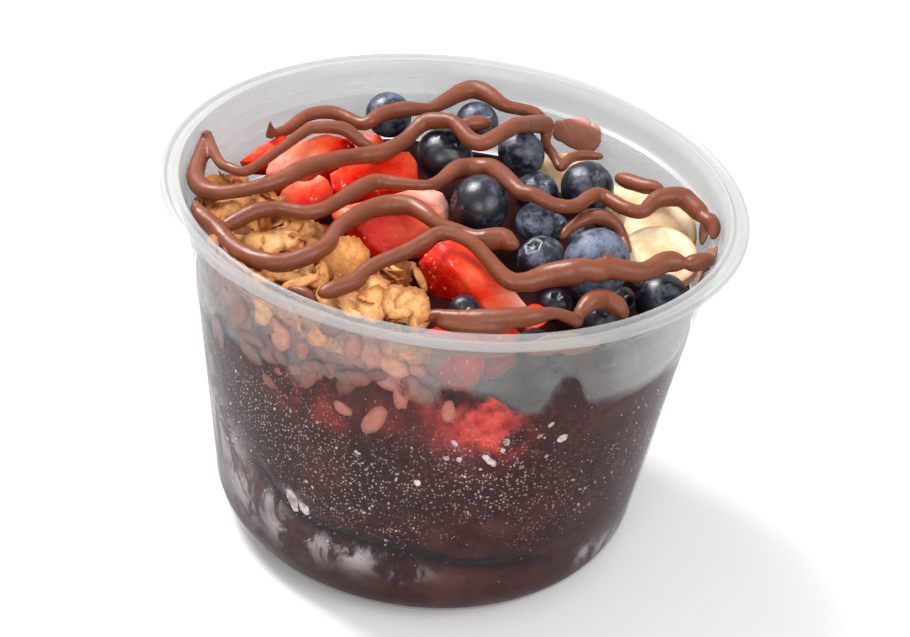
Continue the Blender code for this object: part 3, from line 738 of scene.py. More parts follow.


# --- the acai ---

# The fold that runs round the front of the acai, dented and darkened with painted shade: turn,
# height.
CREVICE = (
    (-140, 33), (-130.5, 28), (-127, 25.1), (-122.5, 23.5), (-115.6, 22.3), (-105.7, 22.2),
    (-93, 21.6), (-84, 20.2), (-78, 18.4), (-65, 18.2), (-58, 17), (-50, 15.5),
)
# Frosty patches: turn, height, half width in degrees, half height, strength.
FROST = (
    (-156, 30, 12, 14, 1.0), (-146, 26, 10, 9, 1.0), (-158, 46, 8, 10, 0.6),
    (-140, 19, 12, 8, 1.0), (-131, 22, 8, 6, 1.0), (-121, 26, 3.4, 2.6, 1.3),
    (-126, 16, 9, 5, 1.0), (-115, 17, 9, 5, 0.9), (-104, 17.5, 7, 5, 1.2),
    (-90, 15, 6, 3.5, 0.8), (-30, 11, 10, 4, 1.0), (-40, 12.5, 4, 3, 0.9),
    (-14, 24, 10, 14, 0.7), (-8, 40, 10, 12, 0.6), (20, 28, 18, 10, 0.6), (60, 20, 22, 7, 0.8),
    (95, 38, 16, 10, 0.5), (130, 20, 22, 7, 0.8), (165, 34, 14, 14, 0.7),
)
# Red fruit that has bled into it, in the same terms.
BLED = (
    (-80, 58.5, 9, 8, 1.8), (-74, 54, 7, 6, 1.5), (-88, 57, 6, 5, 1.2), (-112, 53, 7, 4, 0.6),
    (-99, 56, 6, 4, 0.7), (-122, 54, 6, 4, 0.6),
)
# Where fine bubbles show most, in the same terms.
BUBBLY = (
    (-125, 44, 26, 13, 1.0), (-100, 36, 30, 16, 1.0), (-75, 40, 22, 14, 0.9),
    (-140, 34, 14, 10, 0.6), (-60, 34, 20, 12, 0.6), (-30, 40, 20, 14, 0.4),
    (20, 38, 40, 16, 0.6), (90, 38, 45, 18, 0.8), (150, 38, 35, 16, 0.8),
)


def patch(turn, z, places):
    """How strongly the nearest of these patches covers a place on the wall."""
    best = 0
    for at, height, half_turn, half_height, strength in places:
        away = math.hypot(((turn - at + 180) % 360 - 180) / half_turn, (z - height) / half_height)
        best = max(best, math.exp(-away * away * 1.5) * strength)
    return best


def crevice_depth(turn, z):
    """How deep the fold is at a place on the wall, of its full depth."""
    first, last = CREVICE[0][0], CREVICE[-1][0]
    if not first < turn < last:
        return 0
    ends = min(1, (turn - first) / 12, (last - turn) / 12)
    return math.exp(-(((z - along(CREVICE, turn)) / 1.7) ** 2)) * ends


def acai_finish(settings):
    """Frozen puree: dark purple, flecked with fine bubbles, frosted and stained in places; its top
    and its fold get painted shade.
    """
    f = Finish("acai_puree")
    colour = tuple(settings.colour)
    base = f.ramp(
        f.noise(60, 6, 0.65), (0.3, tuple(c * 0.5 for c in colour)), (0.5, colour),
        (0.7, linear(74, 42, 40)),
    )
    base = f.mix(f.span(f.noise(500, 5, 0.7), 0.5, 0.7, 0.0, 0.3), base, linear(90, 56, 54))
    base = f.mix(f.span(f.noise(300, 5, 0.65), 0.5, 0.66, 0.0, 0.6), base, linear(36, 16, 18))
    bled = f.math("MULTIPLY", f.attribute("bled"), f.span(f.noise(120, 5, 0.6), 0.34, 0.52))
    base = f.mix(bled, base, f.ramp(
        f.noise(260, 3), (0.35, linear(150, 34, 30)), (0.65, linear(206, 78, 66))
    ))
    streaks = f.noise(1, 6, 0.7, f.scaled(120, 120, 90), 0.8)
    frost = f.math("MULTIPLY", f.attribute("frost"), f.span(streaks, 0.43, 0.57))
    tone = f.mix(f.math("MULTIPLY", frost, 0.85), base, tuple(settings.frost))
    region = f.math("MULTIPLY", f.attribute("bubbles"), f.span(f.noise(90, 3), 0.3, 0.5))
    for scale, size, share in ((1500, 0.36, 0.5), (900, 0.24, 0.7)):
        chance = f.node("SeparateColor", {"Color": f.cells(scale, "Color")}).outputs[0]
        dot = f.span(f.cells(scale), size * 0.6, size, 1.0, 0.0)
        dot = f.math("MULTIPLY", dot, f.math("GREATER_THAN", chance, share))
        dot = f.math("MULTIPLY", f.math("MULTIPLY", dot, region), 0.7)
        tone = f.mix(dot, tone, linear(196, 174, 170))
    # Painted shade in the fold.
    tone = f.mix(f.attribute("crevice_shade"), tone, linear(26, 18, 18))
    # Painted shade: the top is darkened between the toppings.
    tone = f.mix(f.attribute("shade"), tone, f.ramp(
        f.noise(160, 4), (0.35, linear(26, 10, 10)), (0.7, linear(70, 20, 20))
    ))
    height = f.math("ADD", f.noise(260, 4, 0.6), f.math("MULTIPLY", f.noise(1200, 2), 0.3))
    return f.done(
        f.principled(**{
            "Base Color": tone, "Roughness": 0.6, "Specular IOR Level": 0.08,
            "Normal": f.bump(height, 0.5, 0.0008),
        })
    )


def acai_height(x, y):
    """Height of the acai's surface away from the wall, all in millimetres."""
    out = math.hypot(x, y) / wall_radius(58.5)
    height = 58.5 + 3 * (1 - out * out) + 3.5 * y / RIM_RADIUS
    for cx, cy, spread, depth in ((3, -44, 10, 8), (-34, -30, 16, 3), (26, -38, 12, 3)):
        away = math.hypot(x - cx, y - cy) / spread
        height -= depth * math.exp(-away * away)
    return height + 0.8 * wave(Vector((x, y, 0)), 9) + 0.4 * wave(Vector((x, y, 5)), 3)


# Large bubbles on the wall: turn, height, half width, half height, lean.
LARGE_BUBBLES = (
    (-59.3, 50.5, 1.0, 1.3, 20), (-65.1, 52.1, 0.5, 0.7, 30), (-63, 54.7, 0.45, 0.8, 40),
    (-72.5, 51.5, 1.0, 0.7, 0), (-76, 47.3, 0.7, 2.1, -50), (-74.6, 46.2, 0.6, 1.1, -60),
    (-83.7, 51.2, 0.5, 1.1, -50), (-84.9, 47.3, 0.6, 0.6, 0), (-82.2, 47.1, 0.65, 0.6, 0),
    (-72.9, 49.3, 0.6, 0.5, 0), (-62.3, 46.4, 0.35, 0.5, 30), (-90.6, 40.2, 0.9, 0.7, 20),
    (-121.6, 26.2, 3.6, 1.3, 24), (-118, 25, 1.8, 1.2, 40),
)
# The acai's section is spun with these as the radius of its top, and as the heights of the rows
# on its side and on its top, before each point is laid in its place.
TOP_RADIUS, SIDE_LEVEL, TOP_LEVEL = 50, 100, 200


class BOWL_OT_acai(bpy.types.Operator):
    """Fills the tub with acai, up to its uneven surface"""

    bl_idname = "bowl.acai"
    bl_label = "Acai"

    def execute(self, context):
        settings = context.scene.bowl_acai
        # The side climbs in even steps of a 64th, and its last stretch to the edge is one.
        side_steps, side_rows, rings = 64, 50, 30
        centre = FOOT_RADIUS - FOOT_FILLET
        reach = FOOT_FILLET - WALL + SINK
        floor = [(centre * i / 4, WALL - SINK) for i in range(4)]
        quarter = [math.radians(-90 + 90 * i / 12) for i in range(13)]
        foot = [(centre + reach * math.cos(a), FOOT_FILLET + reach * math.sin(a)) for a in quarter]
        side = [(TOP_RADIUS, SIDE_LEVEL + i) for i in range(1, side_rows + 1)]
        top = [(TOP_RADIUS * (1 - i / rings), TOP_LEVEL) for i in range(rings + 1)]
        bm = spun((*floor, *foot, *side, *top), 320)
        keys = ("frost", "bled", "bubbles", "crevice_shade", "shade")
        layers = {key: bm.verts.layers.float.new(key) for key in keys}
        for vertex in bm.verts:
            x, y, z = vertex.co / MM
            turn = math.degrees(math.atan2(y, x))
            edge = wet_height(turn)
            if z > TOP_LEVEL - 1:
                share = math.hypot(x, y) / TOP_RADIUS
                radius = share * (wall_radius(edge) + SINK)
                x, y = radius * math.cos(math.radians(turn)), radius * math.sin(math.radians(turn))
                blend = ease(max(0, share - 0.86) / 0.14)
                z = acai_height(x, y) * (1 - blend) + edge * blend
                vertex.co = Vector((x, y, z)) * MM
                red = min(1, patch(turn, z, BLED)) * max(0, share - 0.75) * 4
                # The top's painted shade: full away from the wall, fading at it, and less where
                # fruit bled.
                vertex[layers["shade"]] = clamp((0.99 - share) * 12) * (1 - red)
            elif z > SIDE_LEVEL - 1:
                z = FOOT_FILLET + (edge - FOOT_FILLET) * (z - SIDE_LEVEL) / side_steps
                vertex.co = on_wall(turn, z, -SINK)
            fold = crevice_depth(turn, z) if math.hypot(x, y) > 30 else 0
            out = 1 - 0.6 * MM * fold / max(vertex.co.xy.length, MM)
            vertex.co.xy *= out
            # How strongly the fold's painted shade darkens it.
            vertex[layers["crevice_shade"]] = min(1, fold * 1.3)
            vertex[layers["frost"]] = patch(turn, z, FROST)
            vertex[layers["bled"]] = min(1, patch(turn, z, BLED))
            vertex[layers["bubbles"]] = patch(turn, z, BUBBLY)
        add_piece("acai_fill", mesh_of(bm, "acai", 60), "acai", [acai_finish(settings)], "acai")
        self.add_blobs(settings)
        return {"FINISHED"}

    def add_blobs(self, settings):
        """Flat air bubbles caught between the acai and the wall."""
        rng = random.Random(11)
        blobs = [*LARGE_BUBBLES]
        for _ in range(settings.blob_count):
            turn = rng.uniform(-180, 180)
            z = rng.uniform(12, 60)
            if z < wet_height(turn) - 1 and rng.random() < patch(turn, z, BUBBLY):
                size = 0.08 + 0.24 * rng.random() ** 7
                blobs.append((turn, z, size, size * rng.uniform(0.8, 1.5), rng.uniform(-60, 60)))
        bm = bmesh.new()
        bubble = pebble((1, 1, 0.2))
        for turn, z, wide, tall, lean in blobs:
            turned = facing(turn, 0, 90 + lean).to_4x4() @ Matrix.Diagonal((wide, tall, 1, 1))
            stamp(bm, bubble, Matrix.Translation(on_wall(turn, z, -SINK - 0.05)) @ turned)
        f = Finish("air_bubble")
        tone = f.ramp(f.noise(700), (0.35, linear(112, 94, 94)), (0.65, linear(196, 180, 178)))
        finish = f.done(f.principled(**{"Base Color": tone, "Roughness": 0.4}))
        add_piece("air_bubbles", mesh_of(bm, "air_bubbles"), "acai", [finish])


# --- the granola ---


def oat_finish(settings):
    """Toasted oats: pale in the middle, browner at the edges, stained where acai soaks them, with
    painted shade deep in the heap.
    """
    f = Finish("toasted_oat")
    grain = f.noise(700, 4, 0.6)
    # The shade attribute runs from dark brown to pale; its dark end is partly painted shade.
    tone = f.ramp(
        f.attribute("shade"), (0.0, linear(118, 62, 24)), (0.3, linear(192, 124, 62)),
        (0.6, tuple(settings.colour)), (1.0, linear(234, 186, 122)),
    )
    tone = f.mix(f.span(f.noise(260, 4, 0.6), 0.45, 0.7, 0.0, 0.6), tone, linear(190, 122, 66))
    tone = f.mix(f.span(grain, 0.4, 0.7, 0.0, 0.3), tone, linear(196, 140, 84), "MULTIPLY")
    tone = f.mix(f.span(f.attribute("rim"), 0.72, 1.0, 0.0, 0.45), tone, linear(168, 98, 44))
    soaked = f.ramp(
        f.attribute("stain"), (0.0, linear(214, 168, 142)), (0.35, linear(188, 130, 116)),
        (0.6, linear(150, 88, 82)), (1.0, linear(70, 30, 34)),
    )
    tone = f.mix(f.span(f.attribute("stain"), 0.0, 0.5, 0.0, 0.92), tone, soaked)
    tone = f.mix(f.span(grain, 0.4, 0.7, 0.0, 0.35), tone, linear(150, 100, 84), "MULTIPLY")
    edge = f.span(f.attribute("rim"), 0.5, 1.0, 0.0, 0.45)
    tone = f.mix(edge, tone, linear(176, 112, 86), "MULTIPLY")
    return f.done(
        f.principled(**{
            "Base Color": tone, "Roughness": 0.55, "Specular IOR Level": 0.22,
            "Subsurface Weight": 0.12, "Subsurface Radius": (0.003, 0.0015, 0.0007),
            "Normal": f.bump(grain, 0.45, 0.0003),
        })
    )


def oat_flake(rng, length, width, thickness, kind="whole"):
    """A rolled oat: a bent oval with a crease, whole or broken."""
    bm = bmesh.new()
    rim = bm.verts.layers.float.new("rim")
    bmesh.ops.create_uvsphere(bm, u_segments=14, v_segments=6, radius=1)
    seed = rng.random() * 50
    bend, twist = rng.uniform(-0.16, 0.24), rng.uniform(-0.4, 0.4)
    for vertex in bm.verts:
        x, y, z = vertex.co
        vertex[rim] = math.hypot(x, y)
        flat = Vector((x, y, 0))
        ragged = 1 + 0.14 * wave(flat, 0.5, seed) + 0.1 * wave(flat, 0.18, seed)
        crease = 0.35 * math.exp(-((y / 0.16) ** 2)) * (1 - x * x)
        lift = bend * (x * x * length / 2) + 0.07 * width * wave(Vector((x, y, 3)), 0.9, seed)
        lift += twist * x * y * width / 2
        z = math.copysign(math.sqrt(abs(z)), z) * thickness / 2 * (1 - crease) + lift
        vertex.co = Vector((x * ragged * length / 2, y * ragged * width / 2, z)) * MM
    if kind == "broken":
        normal = direction(rng.uniform(-40, 40), 0)
        cut_off(bm, normal * length * rng.uniform(-0.1, 0.2) * MM, normal)
    return bm


def chip(seed, radius):
    """A big toasted flake with a ragged edge, gently waved."""
    thickness, jag, curl = 0.4, 0.12, 0.3
    bm = bmesh.new()
    rim = bm.verts.layers.float.new("rim")
    bmesh.ops.create_circle(bm, cap_ends=True, segments=56, radius=1)
    ringed(bm, bm.faces[:], 5)
    for vertex in bm.verts:
        x, y, _ = vertex.co
        out = math.hypot(x, y)
        vertex[rim] = out
        around = Vector((x, y, 0)).normalized()
        ragged = 1 + jag * out**3 * (wave(around, 0.6, seed) + 0.9 * wave(around, 0.12, seed + 3))
        lift = curl * (x * x - 0.4 * y) + 0.1 * wave(Vector((x, y, 1)), 0.7, seed)
        vertex.co = Vector((x * ragged, y * ragged, lift)) * radius * MM
    bmesh.ops.solidify(bm, geom=bm.faces[:], thickness=thickness * MM)
    for vertex in bm.verts:
        vertex.co.z += 0.07 * MM * wave(vertex.co, 1.1 * MM, seed)
    return bm


# Flakes that stand out: x, y, z, shape, length, width, turn and rise of the face, roll, shade.
# A chip is as wide as it's long, and has the seed of its outline as its width.
# The shade column is partly each flake's toast and partly painted shade on flakes that face away or
# lie low.
STANDOUTS = (
    (-18.9, -27.2, 74, "chip", 9.6, 2, -95, 38, 20, 0.5),
    (-15.5, -40.6, 73, "chip", 7, 3, -80, 62, 10, 0.95),
    (-12.2, -41.6, 74, "chip", 7, 4, -125, 32, 60, 0.85),
    (-8, -42.4, 75.6, "chip", 6.4, 5, -60, 48, 150, 1),
    (-5, -42.6, 75.4, "chip", 7, 6, -100, 20, 20, 0.9),
    (-13, -38.2, 74.6, "chip", 6, 7, -100, 66, 90, 0.8),
    (-19, -40.6, 72.4, "whole", 7, 3.4, -95, 60, 0, 0.9),
    (-3.4, -43, 73.2, "broken", 6, 4, -60, 40, 40, 0.9),
    (-12.8, -38.6, 73, "whole", 7, 2.2, -90, 40, 25, 0.5),
    (-16.8, -38.4, 74, "whole", 6, 2, -90, 50, -30, 0.7),
    (-13.2, -36.4, 74.6, "whole", 7, 2.4, -90, 55, 15, 0.6),
    (-9.2, -27.8, 72, "whole", 8, 6, -115, 12, 70, 0.1),
    (-9.4, -27.4, 74, "whole", 8, 2.2, -100, 65, 15, 0.8),
    (-4.6, -29, 73, "whole", 5.5, 1.8, -60, 30, 110, 0.75),
    (-35.6, -21, 71.2, "whole", 8.5, 6, -95, 50, 15, 0.85),
    (-32.4, -19.2, 71.8, "whole", 8, 5.5, -80, 55, 10, 0.9),
    (-29.2, -17, 72.2, "whole", 7.5, 6, -75, 35, 30, 0.75),
    (-36.3, -15.6, 72, "whole", 6.5, 5, -130, 5, 80, 0.2),
    (-38.7, -15.2, 72.3, "whole", 6.5, 4.5, -60, 30, 50, 0.6),
    (-39.7, -19, 71.6, "broken", 7, 5.5, -100, 35, 100, 0.9),
    (-29.7, -10.5, 71.6, "whole", 7, 4, -100, 65, -15, 0.6),
    (-49, -9, 73, "whole", 8, 3.5, -60, 20, 80, 0.6),
    (-45.5, -8.7, 72.8, "whole", 8, 5, -90, 60, 30, 0.55),
    (-43.4, -11.2, 73.2, "whole", 9, 4, -85, 40, 35, 0.7),
    (-39.3, -4.6, 71.8, "whole", 8, 6, -90, 45, 10, 0.7),
    (-43.8, -14.2, 73, "whole", 8, 4.5, -70, 45, 45, 0.75),
    (-33, -30.6, 72.2, "whole", 8, 2.2, -90, 45, -5, 0.6),
    (-29.8, -33.2, 72.6, "whole", 9, 2.4, -90, 50, 0, 0.75),
    (-26.6, -35.6, 73, "whole", 7.5, 2.2, -95, 45, 25, 0.7),
    (-24.3, -34.4, 73, "whole", 5, 2.4, -85, 40, -30, 0.65),
    (-22.6, -32.4, 73, "whole", 6, 2.2, -90, 35, 100, 0.7),
    (-26.3, -30.2, 72.2, "whole", 6, 2.4, -90, 40, 70, 0.95),
    (-25.7, -15.5, 71.8, "whole", 5, 3.2, -60, 30, 70, 0.8),
    (-34, -34, 72, "whole", 6, 3, -100, 60, 20, 0.5),
    (-21, -36.5, 73, "broken", 7, 4, -90, 55, 60, 0.7),
)
# The free space in front of the heap: its sides in x and in y, and its floor.
FREE_SPACE = (-9, 19, -39, -32, 72.6)
# Flakes that show against the wall: turn, height, length, width, lean, stain.
WALL_STANDOUTS = (
    (-137, 64.3, 9.5, 4.5, -35, 0.75), (-132.8, 60.7, 9, 2.6, -80, 0.85),
    (-128.9, 69.1, 8.5, 6, -40, 0.25), (-121, 58.9, 9, 2.4, -60, 0.75),
    (-127.4, 53.4, 4, 3, 80, 0.85), (-116.2, 59.2, 6.5, 3, -30, 0.85),
    (-111.7, 62.7, 3.6, 3, 0, 0.75), (-106.4, 70, 7, 4, -10, 0.5),
    (-102.7, 69.4, 7, 4.5, 10, 0.45), (-98.2, 67.9, 7.5, 4.5, 60, 0.35),
    (-93.2, 67.6, 4, 3, 50, 0.45), (-95.8, 62.2, 8.5, 3.2, 0, 0.25),
    (-101.1, 54.2, 8.5, 4, -25, 0.2), (-108.2, 54.9, 4.5, 3, 70, 0.6),
    (-118.2, 64.9, 5, 3, -10, 0.55), (-114.4, 69.5, 5, 4, -50, 0.25),
    (-111, 73, 7, 4, -45, 0.8), (-124, 66, 7, 5, 20, 0.35), (-85.8, 59, 6, 2.6, 0, 0.1),
)


def add_flake(bm, flake, matrix, shade, stain):
    """Adds a flake's bmesh to the heap's, with its own shade and stain."""
    layers = [flake.verts.layers.float.new(key) for key in ("shade", "stain")]
    for vertex in flake.verts:
        for layer, value in zip(layers, (shade, stain)):
            vertex[layer] = value
    data = bpy.data.meshes.new("flake")
    flake.to_mesh(data)
    flake.free()
    stamp(bm, data, matrix)
    bpy.data.meshes.remove(data)


def keep_out(co):
    """Moves a point that lies in the free space in front of the heap to its nearest side."""
    left, right, near, far, floor = (value * MM for value in FREE_SPACE)
    if left < co.x < right and near < co.y < far and co.z > floor:
        axis, side = min(
            (("x", left), ("y", near), ("y", far), ("z", floor)),
            key=lambda pair: abs(getattr(co, pair[0]) - pair[1]),
        )
        setattr(co, axis, side)


def flake_bmesh():
    """An empty bmesh with the layers that the oats' colour reads."""
    bm = bmesh.new()
    for key in ("rim", "shade", "stain"):
        bm.verts.layers.float.new(key)
    return bm


class BOWL_OT_granola(bpy.types.Operator):
    """Heaps oat flakes over a rough core, and presses some against the wall"""

    bl_idname = "bowl.granola"
    bl_label = "Granola"

    def execute(self, context):
        settings = context.scene.bowl_granola
        rng = random.Random(5)
        finish = oat_finish(settings)
        core = flake_bmesh()
        core.from_mesh(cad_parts["granola"].data)
        bmesh.ops.remove_doubles(core, verts=core.verts, dist=0.01 * MM)
        spots = self.spots(core, rng, settings.flakes)
        bmesh.ops.subdivide_edges(core, edges=core.edges[:], cuts=2, use_grid_fill=True)
        smoothed(core, 3)
        core.normal_update()
        layers = core.verts.layers.float
        for vertex in core.verts:
            z = vertex.co.z / MM
            near = min(1, max(0, vertex.co.xy.length / MM - wall_radius(z) + 4) / 3)
            shrink = 1.9 - 1.2 * near + (1.1 - 0.6 * near) * wave(vertex.co, 2.5 * MM)
            vertex.co -= vertex.normal * shrink * MM
            # The core is coloured dark brown: painted shade in the gaps between the flakes.
            vertex[layers["shade"]] = 0.1 + 0.3 * wave(vertex.co, 2 * MM, 4)
            vertex[layers["stain"]] = min(0.95, max(0, (75 - z) / 14))
            vertex[layers["rim"]] = 0.8
        add_piece("granola_core", mesh_of(core, "granola_core"), "granola", [finish], "granola")

        heap = flake_bmesh()
        for place, normal in spots:
            self.scatter(heap, rng, place, normal)
        for x, y, z, shape, length, width, turn, rise, roll, shade in STANDOUTS:
            if shape == "chip":
                flake = chip(width, length / 2)
            else:
                flake = oat_flake(rng, length, width, min(0.6, 0.06 * width + 0.3), shape)
            matrix = Matrix.Translation(Vector((x, y, z)) * MM) @ facing(turn, rise, roll).to_4x4()
            add_flake(heap, flake, matrix, shade, 0)
        for vertex in heap.verts:
            keep_out(vertex.co)
        add_piece("granola_flakes", mesh_of(heap, "granola_flakes", 60), "granola", [finish])

        pressed = flake_bmesh()
        for turn, z, length, width, lean, stain in WALL_STANDOUTS:
            self.press(pressed, rng, turn, z, length, width, lean, stain, 0.1)
        for _ in range(settings.wall_flakes):
            turn = rng.uniform(-172, -92)
            z = rng.triangular(wet_height(turn) - 2, 73, 69)
            stain = min(0.95, max(0.1, (75 - z) / 15 + rng.uniform(-0.2, 0.25)))
            length = rng.uniform(3.5, 8)
            self.press(
                pressed, rng, turn, z, length, length * rng.uniform(0.4, 0.75),
                rng.uniform(-90, 90), stain, rng.uniform(0.6, 2.4),
            )
        for vertex in pressed.verts:
            limit = (wall_radius(vertex.co.z / MM) + SINK + 0.1) * MM
            if vertex.co.xy.length > limit:
                vertex.co.xy *= limit / vertex.co.xy.length
        add_piece("granola_at_wall", mesh_of(pressed, "granola_at_wall", 60), "granola", [finish])
        return {"FINISHED"}

    def spots(self, core, rng, count):
        """Places on the heap's top, spread evenly, with the way each faces."""
        core.normal_update()
        faces = [face for face in core.faces if face.normal.z > 0.25]
        areas = [face.calc_area() for face in faces]
        places = []
        for face in rng.choices(faces, areas, k=count):
            a, b = sorted((rng.random(), rng.random()))
            corners = [vertex.co for vertex in face.verts[:3]]
            place = corners[0] * a + corners[1] * (b - a) + corners[2] * (1 - b)
            places.append((place, face.normal.copy()))
        return places

    def scatter(self, heap, rng, place, normal):
        """One flake, laid loosely on the heap."""
        kind = rng.choices(("whole", "broken", "sliver", "crumb"), (4, 3, 3, 3))[0]
        length = rng.uniform(4.5, 8)
        width = length * rng.uniform(0.55, 0.85)
        if kind == "sliver":
            width = length * rng.uniform(0.22, 0.35)
        if kind == "crumb":
            length, width = rng.uniform(2, 3.2), rng.uniform(1.6, 2.4)
        thickness = min(0.6, 0.06 * width + 0.28)
        flake = oat_flake(rng, length, width, thickness, "broken" if kind == "broken" else "whole")
        lean = Vector((rng.gauss(0, 0.75), rng.gauss(0, 0.75), 0))
        up = (normal + lean + Vector((0, 0, 0.4))).normalized()
        spin = Matrix.Rotation(rng.uniform(0, math.tau), 4, "Z")
        turned = up.to_track_quat("Z", "Y").to_matrix().to_4x4() @ spin
        reach = length / 2 * MM
        place = place + Vector((0, 0, rng.uniform(-1.6, 0.3) * MM))
        limit = (wall_radius(min(place.z / MM, 72)) - 0.6) * MM - reach * 0.75
        if place.xy.length > limit:
            place.xy *= limit / place.xy.length
        stain = 0.5 if place.z < 66 * MM and rng.random() < 0.4 else 0
        # A flake's shade is random, and darker the lower it lies: painted shade deep in the heap.
        shade = rng.betavariate(2, 1.5) * (0.4 + 0.6 * clamp((place.z / MM - 67.5) / 4))
        add_flake(heap, flake, Matrix.Translation(place) @ turned, shade, stain)

    def press(self, pressed, rng, turn, z, length, width, lean, stain, depth):
        """One flake, flat against the wall."""
        flake = oat_flake(rng, length, width, min(1.0, 0.15 * width + 0.3))
        inward = facing(turn, rng.uniform(-6, 6), 90 + lean).to_4x4()
        if z < wet_height(turn) + 1:
            depth, stain = -SINK, max(stain, 0.6)
        matrix = Matrix.Translation(on_wall(turn, z, depth)) @ inward
        add_flake(pressed, flake, matrix, rng.uniform(0.5, 1), stain)


# --- the fruit ---


def blueberry_finish(settings):
    """Blueberry skin: nearly black, under a patchy pale bloom that is rubbed off in places."""
    f = Finish("blueberry_skin")
    own = f.vector("own")
    mottle = f.noise(1.6, 5, 0.62, own, 0.5)
    scuffs = f.span(f.noise(7, 4, 0.7, own), 0.5, 0.64, 1.0, 0.25)
    cover = f.math("ADD", f.span(mottle, 0.28, 0.72), f.math("SUBTRACT", f.attribute("bloom"), 0.5))
    cover = f.math("MULTIPLY", f.span(cover, 0.15, 1.15), scuffs)
    dark = f.ramp(mottle, (0.3, linear(18, 18, 26)), (0.7, tuple(settings.blueberry)))
    tone = f.mix(cover, dark, tuple(settings.bloom))
    grain = f.noise(14, 4, 0.6, own)
    return f.done(
        f.principled(**{
            "Base Color": tone, "Roughness": f.span(cover, 0.0, 0.8, 0.3, 0.62),
            "Specular IOR Level": 0.55, "Normal": f.bump(grain, 0.12, 0.0006),
        })
    )


def blueberry(bm, radius, turn, rise, bloom):
    """A round berry with a five-pointed crown."""
    own, cover = bm.verts.layers.float_vector.new("own"), bm.verts.layers.float.new("bloom")
    bmesh.ops.create_uvsphere(bm, u_segments=50, v_segments=36, radius=1)
    seed = radius + turn
    for vertex in bm.verts:
        co = vertex.co.copy()
        vertex[own] = co + Vector((seed, 0, 0))
        vertex[cover] = bloom
        from_pole = math.degrees(math.acos(max(-1, min(1, co.z))))
        lobes = 0.5 + 0.5 * math.cos(5 * math.atan2(co.y, co.x))
        rim = math.exp(-(((from_pole - 19 - 5 * lobes) / 4.0) ** 2))
        dip = math.exp(-((from_pole / (14 + 3 * lobes)) ** 4))
        swell = 0.012 * wave(co, 0.8, seed) + 0.05 * rim * (0.35 + 0.65 * lobes) - 0.16 * dip
        co *= 1 + swell
        co.z *= 0.9
        vertex.co = co * radius * MM
    bmesh.ops.rotate(bm, verts=bm.verts, matrix=facing(turn, rise))


class BOWL_OT_blueberries(bpy.types.Operator):
    """Lays the blueberries, each with its crown and bloom"""

    bl_idname = "bowl.blueberries"
    bl_label = "Blueberries"

    def execute(self, context):
        finish = blueberry_finish(context.scene.bowl_fruit)
        for name, shape in BLUEBERRIES.items():
            bm = bmesh.new()
            blueberry(bm, *shape)
            bmesh.ops.translate(bm, verts=bm.verts, vec=middle_of(name))
            add_piece(name + "_berry", mesh_of(bm, name, 50), "blueberry", [finish], name)
        return {"FINISHED"}


def strawberry_finish(settings):
    """Strawberry, from its deep red skin to its pale wet core."""
    f = Finish("strawberry_flesh")
    pale = f.math("ADD", f.attribute("pale"), f.span(f.noise(200, 3, 0.5), 0.3, 0.7, -0.08, 0.08))
    tone = f.ramp(
        pale, (0.0, linear(164, 4, 0)), (0.14, linear(212, 20, 4)),
        (0.3, tuple(settings.strawberry)), (0.5, linear(238, 92, 54)),
        (0.74, linear(242, 136, 110)), (1.0, linear(246, 184, 166)),
    )
    fibres = f.noise(1, 5, 0.65, f.scaled(500, 500, 1400), 0.8)
    tone = f.mix(f.span(fibres, 0.52, 0.72, 0.0, 0.16), tone, linear(250, 176, 150))
    tone = f.mix(f.span(f.noise(190, 3), 0.56, 0.74, 0.0, 0.3), tone, linear(204, 16, 10))
    height = f.math("ADD", f.noise(500, 4, 0.6), fibres)
    return f.done(
        f.principled(**{
            "Base Color": tone, "Roughness": f.span(f.noise(330, 3), 0.35, 0.65, 0.16, 0.42),
            "Subsurface Weight": 0.2, "Subsurface Radius": (0.005, 0.0015, 0.001),
            "Specular IOR Level": 0.22, "Coat Weight": 0.05, "Normal": f.bump(height, 0.3, 0.0004),
        })
    )


def seed_finish():
    """Strawberry seeds, from golden to brown."""
    f = Finish("strawberry_seed")
    tone = f.ramp(f.noise(900), (0.35, linear(150, 96, 34)), (0.65, linear(206, 168, 78)))
    return f.done(f.principled(**{"Base Color": tone, "Roughness": 0.4}))


def add_seed(bm, seed, place, normal):
    """A seed, lying in the skin."""
    turned = normal.to_track_quat("Z", "Y").to_matrix().to_4x4()
    stamp(bm, seed, Matrix.Translation(place) @ turned)


def strawberry(bm, name, length, width, stalk, face, cuts, pale):
    """A piece of a strawberry: the tapered berry, cut by planes, with seeds in its skin."""
    bmesh.ops.create_uvsphere(bm, u_segments=40, v_segments=26, radius=1)
    planes = [(direction(turn, rise), offset * MM) for offset, turn, rise in cuts]

    def grown(point):
        taper = 0.78 + 0.3 * point.z - 0.1 * point.z**2
        lumps = 1 + 0.04 * wave(point, 0.9, len(name) + length)
        reach = taper * lumps * width / 2
        return Vector((point.x * reach, point.y * reach, point.z * length / 2)) * MM

    for vertex in bm.verts:
        vertex.co = grown(vertex.co)
    for normal, offset in planes:
        ringed(bm, cut_off(bm, normal * offset, normal, 0.001 * MM), 6)
    light = bm.verts.layers.float.new("pale")
    for vertex in bm.verts:
        depth = min(abs(vertex.co.dot(normal) - offset) for normal, offset in planes)
        out = vertex.co.length / (width / 2 * MM)
        vertex[light] = pale + (0.7 * max(0, 1 - out * out) if depth < 0.1 * MM else 0)
    golden = math.pi * (3 - math.sqrt(5))
    count = int(length * width / 2.6)
    seed = pebble((0.3, 0.5, 0.18), 1)
    for i in range(count):
        z = -0.92 + 1.75 * (i + 0.5) / count
        ring = math.sqrt(1 - z * z)
        sphere = Vector((ring * math.cos(i * golden), ring * math.sin(i * golden), z))
        place = grown(sphere)
        if all(place.dot(normal) < offset - 0.7 * MM for normal, offset in planes):
            add_seed(bm, seed, place - sphere * 0.05 * MM, sphere)
    bmesh.ops.rotate(bm, verts=bm.verts, matrix=lying(stalk, face))
    centred(bm)


